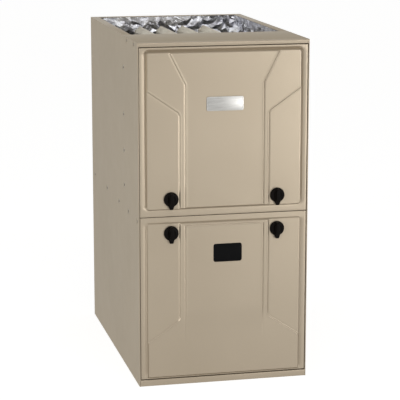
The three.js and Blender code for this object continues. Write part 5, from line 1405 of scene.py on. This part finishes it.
def gas_valve_parts():
    """The valve's cover screws and a blank data plate."""
    low = box_of("gas_valve")[0]
    x, front, z = centre_of("gas_valve")[0], low[1], low[2]
    seat = box_of("gas_valve_switch")[1][1] + 1.6
    screw_group("gas_valve_screws", [(x + side * 25, seat, z + rise, 2.8) for side in (-1, 1)
                                     for rise in (6, 78)])
    plate = block("gas_valve_plate", (x - 16, front + 6.6, z + 10), (x + 12, front + 8.4, z + 30), 0.3)
    piece(plate, "root", "brushed_plate")


def wires():
    """Looms from the board along the shelf: each a few insulated wires with a gentle sag."""
    low, high = box_of("control_board")
    face = high[1] - BOARD_RELIEF
    shelf = box_of("blower_shelf")[0][2]
    draw = random.Random(3)
    starts = [(low[0] + 22 + index * TERMINAL_PITCH, face - 8, high[2] - 6) for index in range(9)]
    x, y, z = low[0] - 2, face + 2, shelf - 9

    def about(value, spread):
        return value + draw.uniform(-spread, spread)

    for group, slot in ((starts[:3], "tube_rubber"), (starts[3:6], "red_plastic"), (starts[6:], "ceramic")):
        strands = []
        for start in group:
            controls = [start, (start[0], face - 9, about(shelf - 12, 1)),
                        (x + 30, about(face - 4, 2), about(z, 2)),
                        (x - 52, about(y, 1), about(z, 2)), (x - 66, y + 4, z - 12)]
            line = []
            for one, two in zip(controls, controls[1:]):
                line += [tuple(a + (b - a) * t / 6 for a, b in zip(one, two)) for t in range(6)]
            line.append(controls[-1])
            for _ in range(4):
                between = [tuple((a + 2 * b + c) / 4 for a, b, c in zip(*trio))
                           for trio in zip(line, line[1:], line[2:])]
                line = [line[0], *between, line[-1]]
            strands.append(tube("wire", line, WIRE_RADIUS, 8))
        piece(joined(f"wires_{slot}", strands), "root", slot)


# ---------------------------------------------------------------- the object

dress_nodes()
upper_door()
lower_door()
sight_window()
nameplate()
for knob_node in ("upper_left_knob", "upper_right_knob", "lower_left_knob", "lower_right_knob"):
    knob(knob_node)
casing_side("casing_left_side", -1)
casing_side("casing_right_side", 1)
top_front_plate()
base_rail()
fasteners()
blower_housing()
inducer_housing()
pressure_switch()
blower_wheel()
blower_motor()
inducer_motor()
control_board_parts()
transformer()
gas_valve_parts()
wires()
for burner_number in range(1, 5):
    burner(f"burner_{burner_number}", burner_number)
creased_foil()
for cell_number in range(1, 5):
    cell(f"heat_exchanger_cell_{cell_number}", cell_number)

# ---------------------------------------------------------------- floor, light and camera

FLOOR_SIZE = 60.0
CAMERA_PLACE = (-0.975, -4.353, 1.328)
CAMERA_AZIMUTH = -12.84
CAMERA_ELEVATION = 11.6
LENS = 148.2
WORLD_STRENGTH = 0.4
FLOOR_GREY = 0.7
FLOOR_SHADE = 0.42
FLOOR_GLOW = 0.82


def shader(tree, kind, **values):
    """A shader node with these values on its sockets."""
    node = tree.nodes.new("ShaderNode" + kind)
    for socket, value in values.items():
        node.inputs[socket].default_value = value
    return node


def grey(value):
    return (value, value, value, 1)


def by_ray(tree, lit, seen):
    """One shader for light, and another where the camera, a reflection or a transmission looks."""
    path = tree.nodes.new("ShaderNodeLightPath")
    factor = path.outputs["Is Camera Ray"]
    for name in ("Is Glossy Ray", "Is Transmission Ray"):
        larger = tree.nodes.new("ShaderNodeMath")
        larger.operation = "MAXIMUM"
        tree.links.new(factor, larger.inputs[0])
        tree.links.new(path.outputs[name], larger.inputs[1])
        factor = larger.outputs[0]
    mix = tree.nodes.new("ShaderNodeMixShader")
    for place, source in enumerate((factor, lit.outputs[0], seen.outputs[0])):
        tree.links.new(source, mix.inputs[place])
    return mix


def studio_world():
    world = bpy.data.worlds.new("studio")
    bpy.context.scene.world = world
    world.use_nodes = True
    tree = world.node_tree
    tree.nodes.clear()
    lit = shader(tree, "Background", Color=(1.0, 0.995, 0.98, 1), Strength=WORLD_STRENGTH)
    seen = shader(tree, "Background", Color=grey(1), Strength=1.0)
    output = tree.nodes.new("ShaderNodeOutputWorld")
    tree.links.new(by_ray(tree, lit, seen).outputs[0], output.inputs["Surface"])


def floor_material():
    material = bpy.data.materials.new("pale_floor")
    material.use_nodes = True
    tree = material.node_tree
    tree.nodes.clear()
    lit = shader(tree, "BsdfDiffuse", Color=grey(FLOOR_GREY))
    seen = tree.nodes.new("ShaderNodeAddShader")
    shade = shader(tree, "BsdfDiffuse", Color=grey(FLOOR_SHADE))
    glow = shader(tree, "Emission", Color=grey(1), Strength=FLOOR_GLOW)
    tree.links.new(shade.outputs[0], seen.inputs[0])
    tree.links.new(glow.outputs[0], seen.inputs[1])
    output = tree.nodes.new("ShaderNodeOutputMaterial")
    tree.links.new(by_ray(tree, lit, seen).outputs[0], output.inputs["Surface"])
    return material


def flat_square(name, low, high, z, material):
    square = new_object(name, [(low[0], low[1], z), (high[0], low[1], z), (high[0], high[1], z),
                               (low[0], high[1], z)], [(0, 1, 2, 3)], outward=False)
    square.data.materials.append(material)
    return square


def floor():
    """A wide pale floor, and a darker patch of it inside the casing that is painted shade, standing for the
    casing's shadow on the floor.
    """
    half = FLOOR_SIZE / 2 / MM
    plane = flat_square("floor", (-half, -half), (half, half), 0, floor_material())
    reach = CAD_BOUNDS[1][0] / MM - 4
    # Painted shade: the patch under the casing is a darker grey, so the floor looks shaded inside the casing.
    painted_shade_finish = Finish("floor_painted_shade", 0.9, Base_Color=grey(0.55)).material
    shade = flat_square("floor_painted_shade", (-reach, CASE_FRONT + 4), (reach, CASE_BACK - 4), 0.2, painted_shade_finish)


def aimed(name, data, place, forward):
    obj = linked(name, data)
    obj.location = place
    obj.rotation_mode = "QUATERNION"
    obj.rotation_quaternion = forward.to_track_quat("-Z", "Y")
    return obj


def lamp(name, place, target, width, height, power, colour=(1, 1, 1)):
    light = bpy.data.lights.new(name, "AREA")
    light.shape = "RECTANGLE"
    light.size = width
    light.size_y = height
    light.energy = power
    light.color = colour
    aimed(name, light, place, Vector(target) - Vector(place))


def camera():
    azimuth = math.radians(CAMERA_AZIMUTH)
    elevation = math.radians(CAMERA_ELEVATION)
    forward = Vector((-math.sin(azimuth) * math.cos(elevation), math.cos(azimuth) * math.cos(elevation),
                      -math.sin(elevation)))
    data = bpy.data.cameras.new("camera")
    data.lens = LENS
    data.sensor_width = 36
    data.clip_end = 100
    bpy.context.scene.camera = aimed("camera", data, CAMERA_PLACE, forward)


studio_world()
floor()
lamp("key", (1.8, -3.7, 0.85), (0, -0.3, 0.36), 1.4, 1.2, 20)
lamp("left_strip", (-2.2, -1.75, 0.5), (0, -0.35, 0.45), 0.12, 1.4, 20)
lamp("left_fill", (-3.2, 0.2, 1.2), (0, 0, 0.45), 1.6, 1.6, 4, (1.0, 0.98, 0.9))
lamp("top_strip", (0.1, -1.9, 2.6), (0, -0.35, 0.5), 1.6, 0.12, 8)
lamp("right_glow", (1.3, -2.3, 0.25), (0.15, -0.35, 0.25), 0.5, 0.5, 6)
camera()
bpy.context.scene.view_settings.view_transform = "Standard"
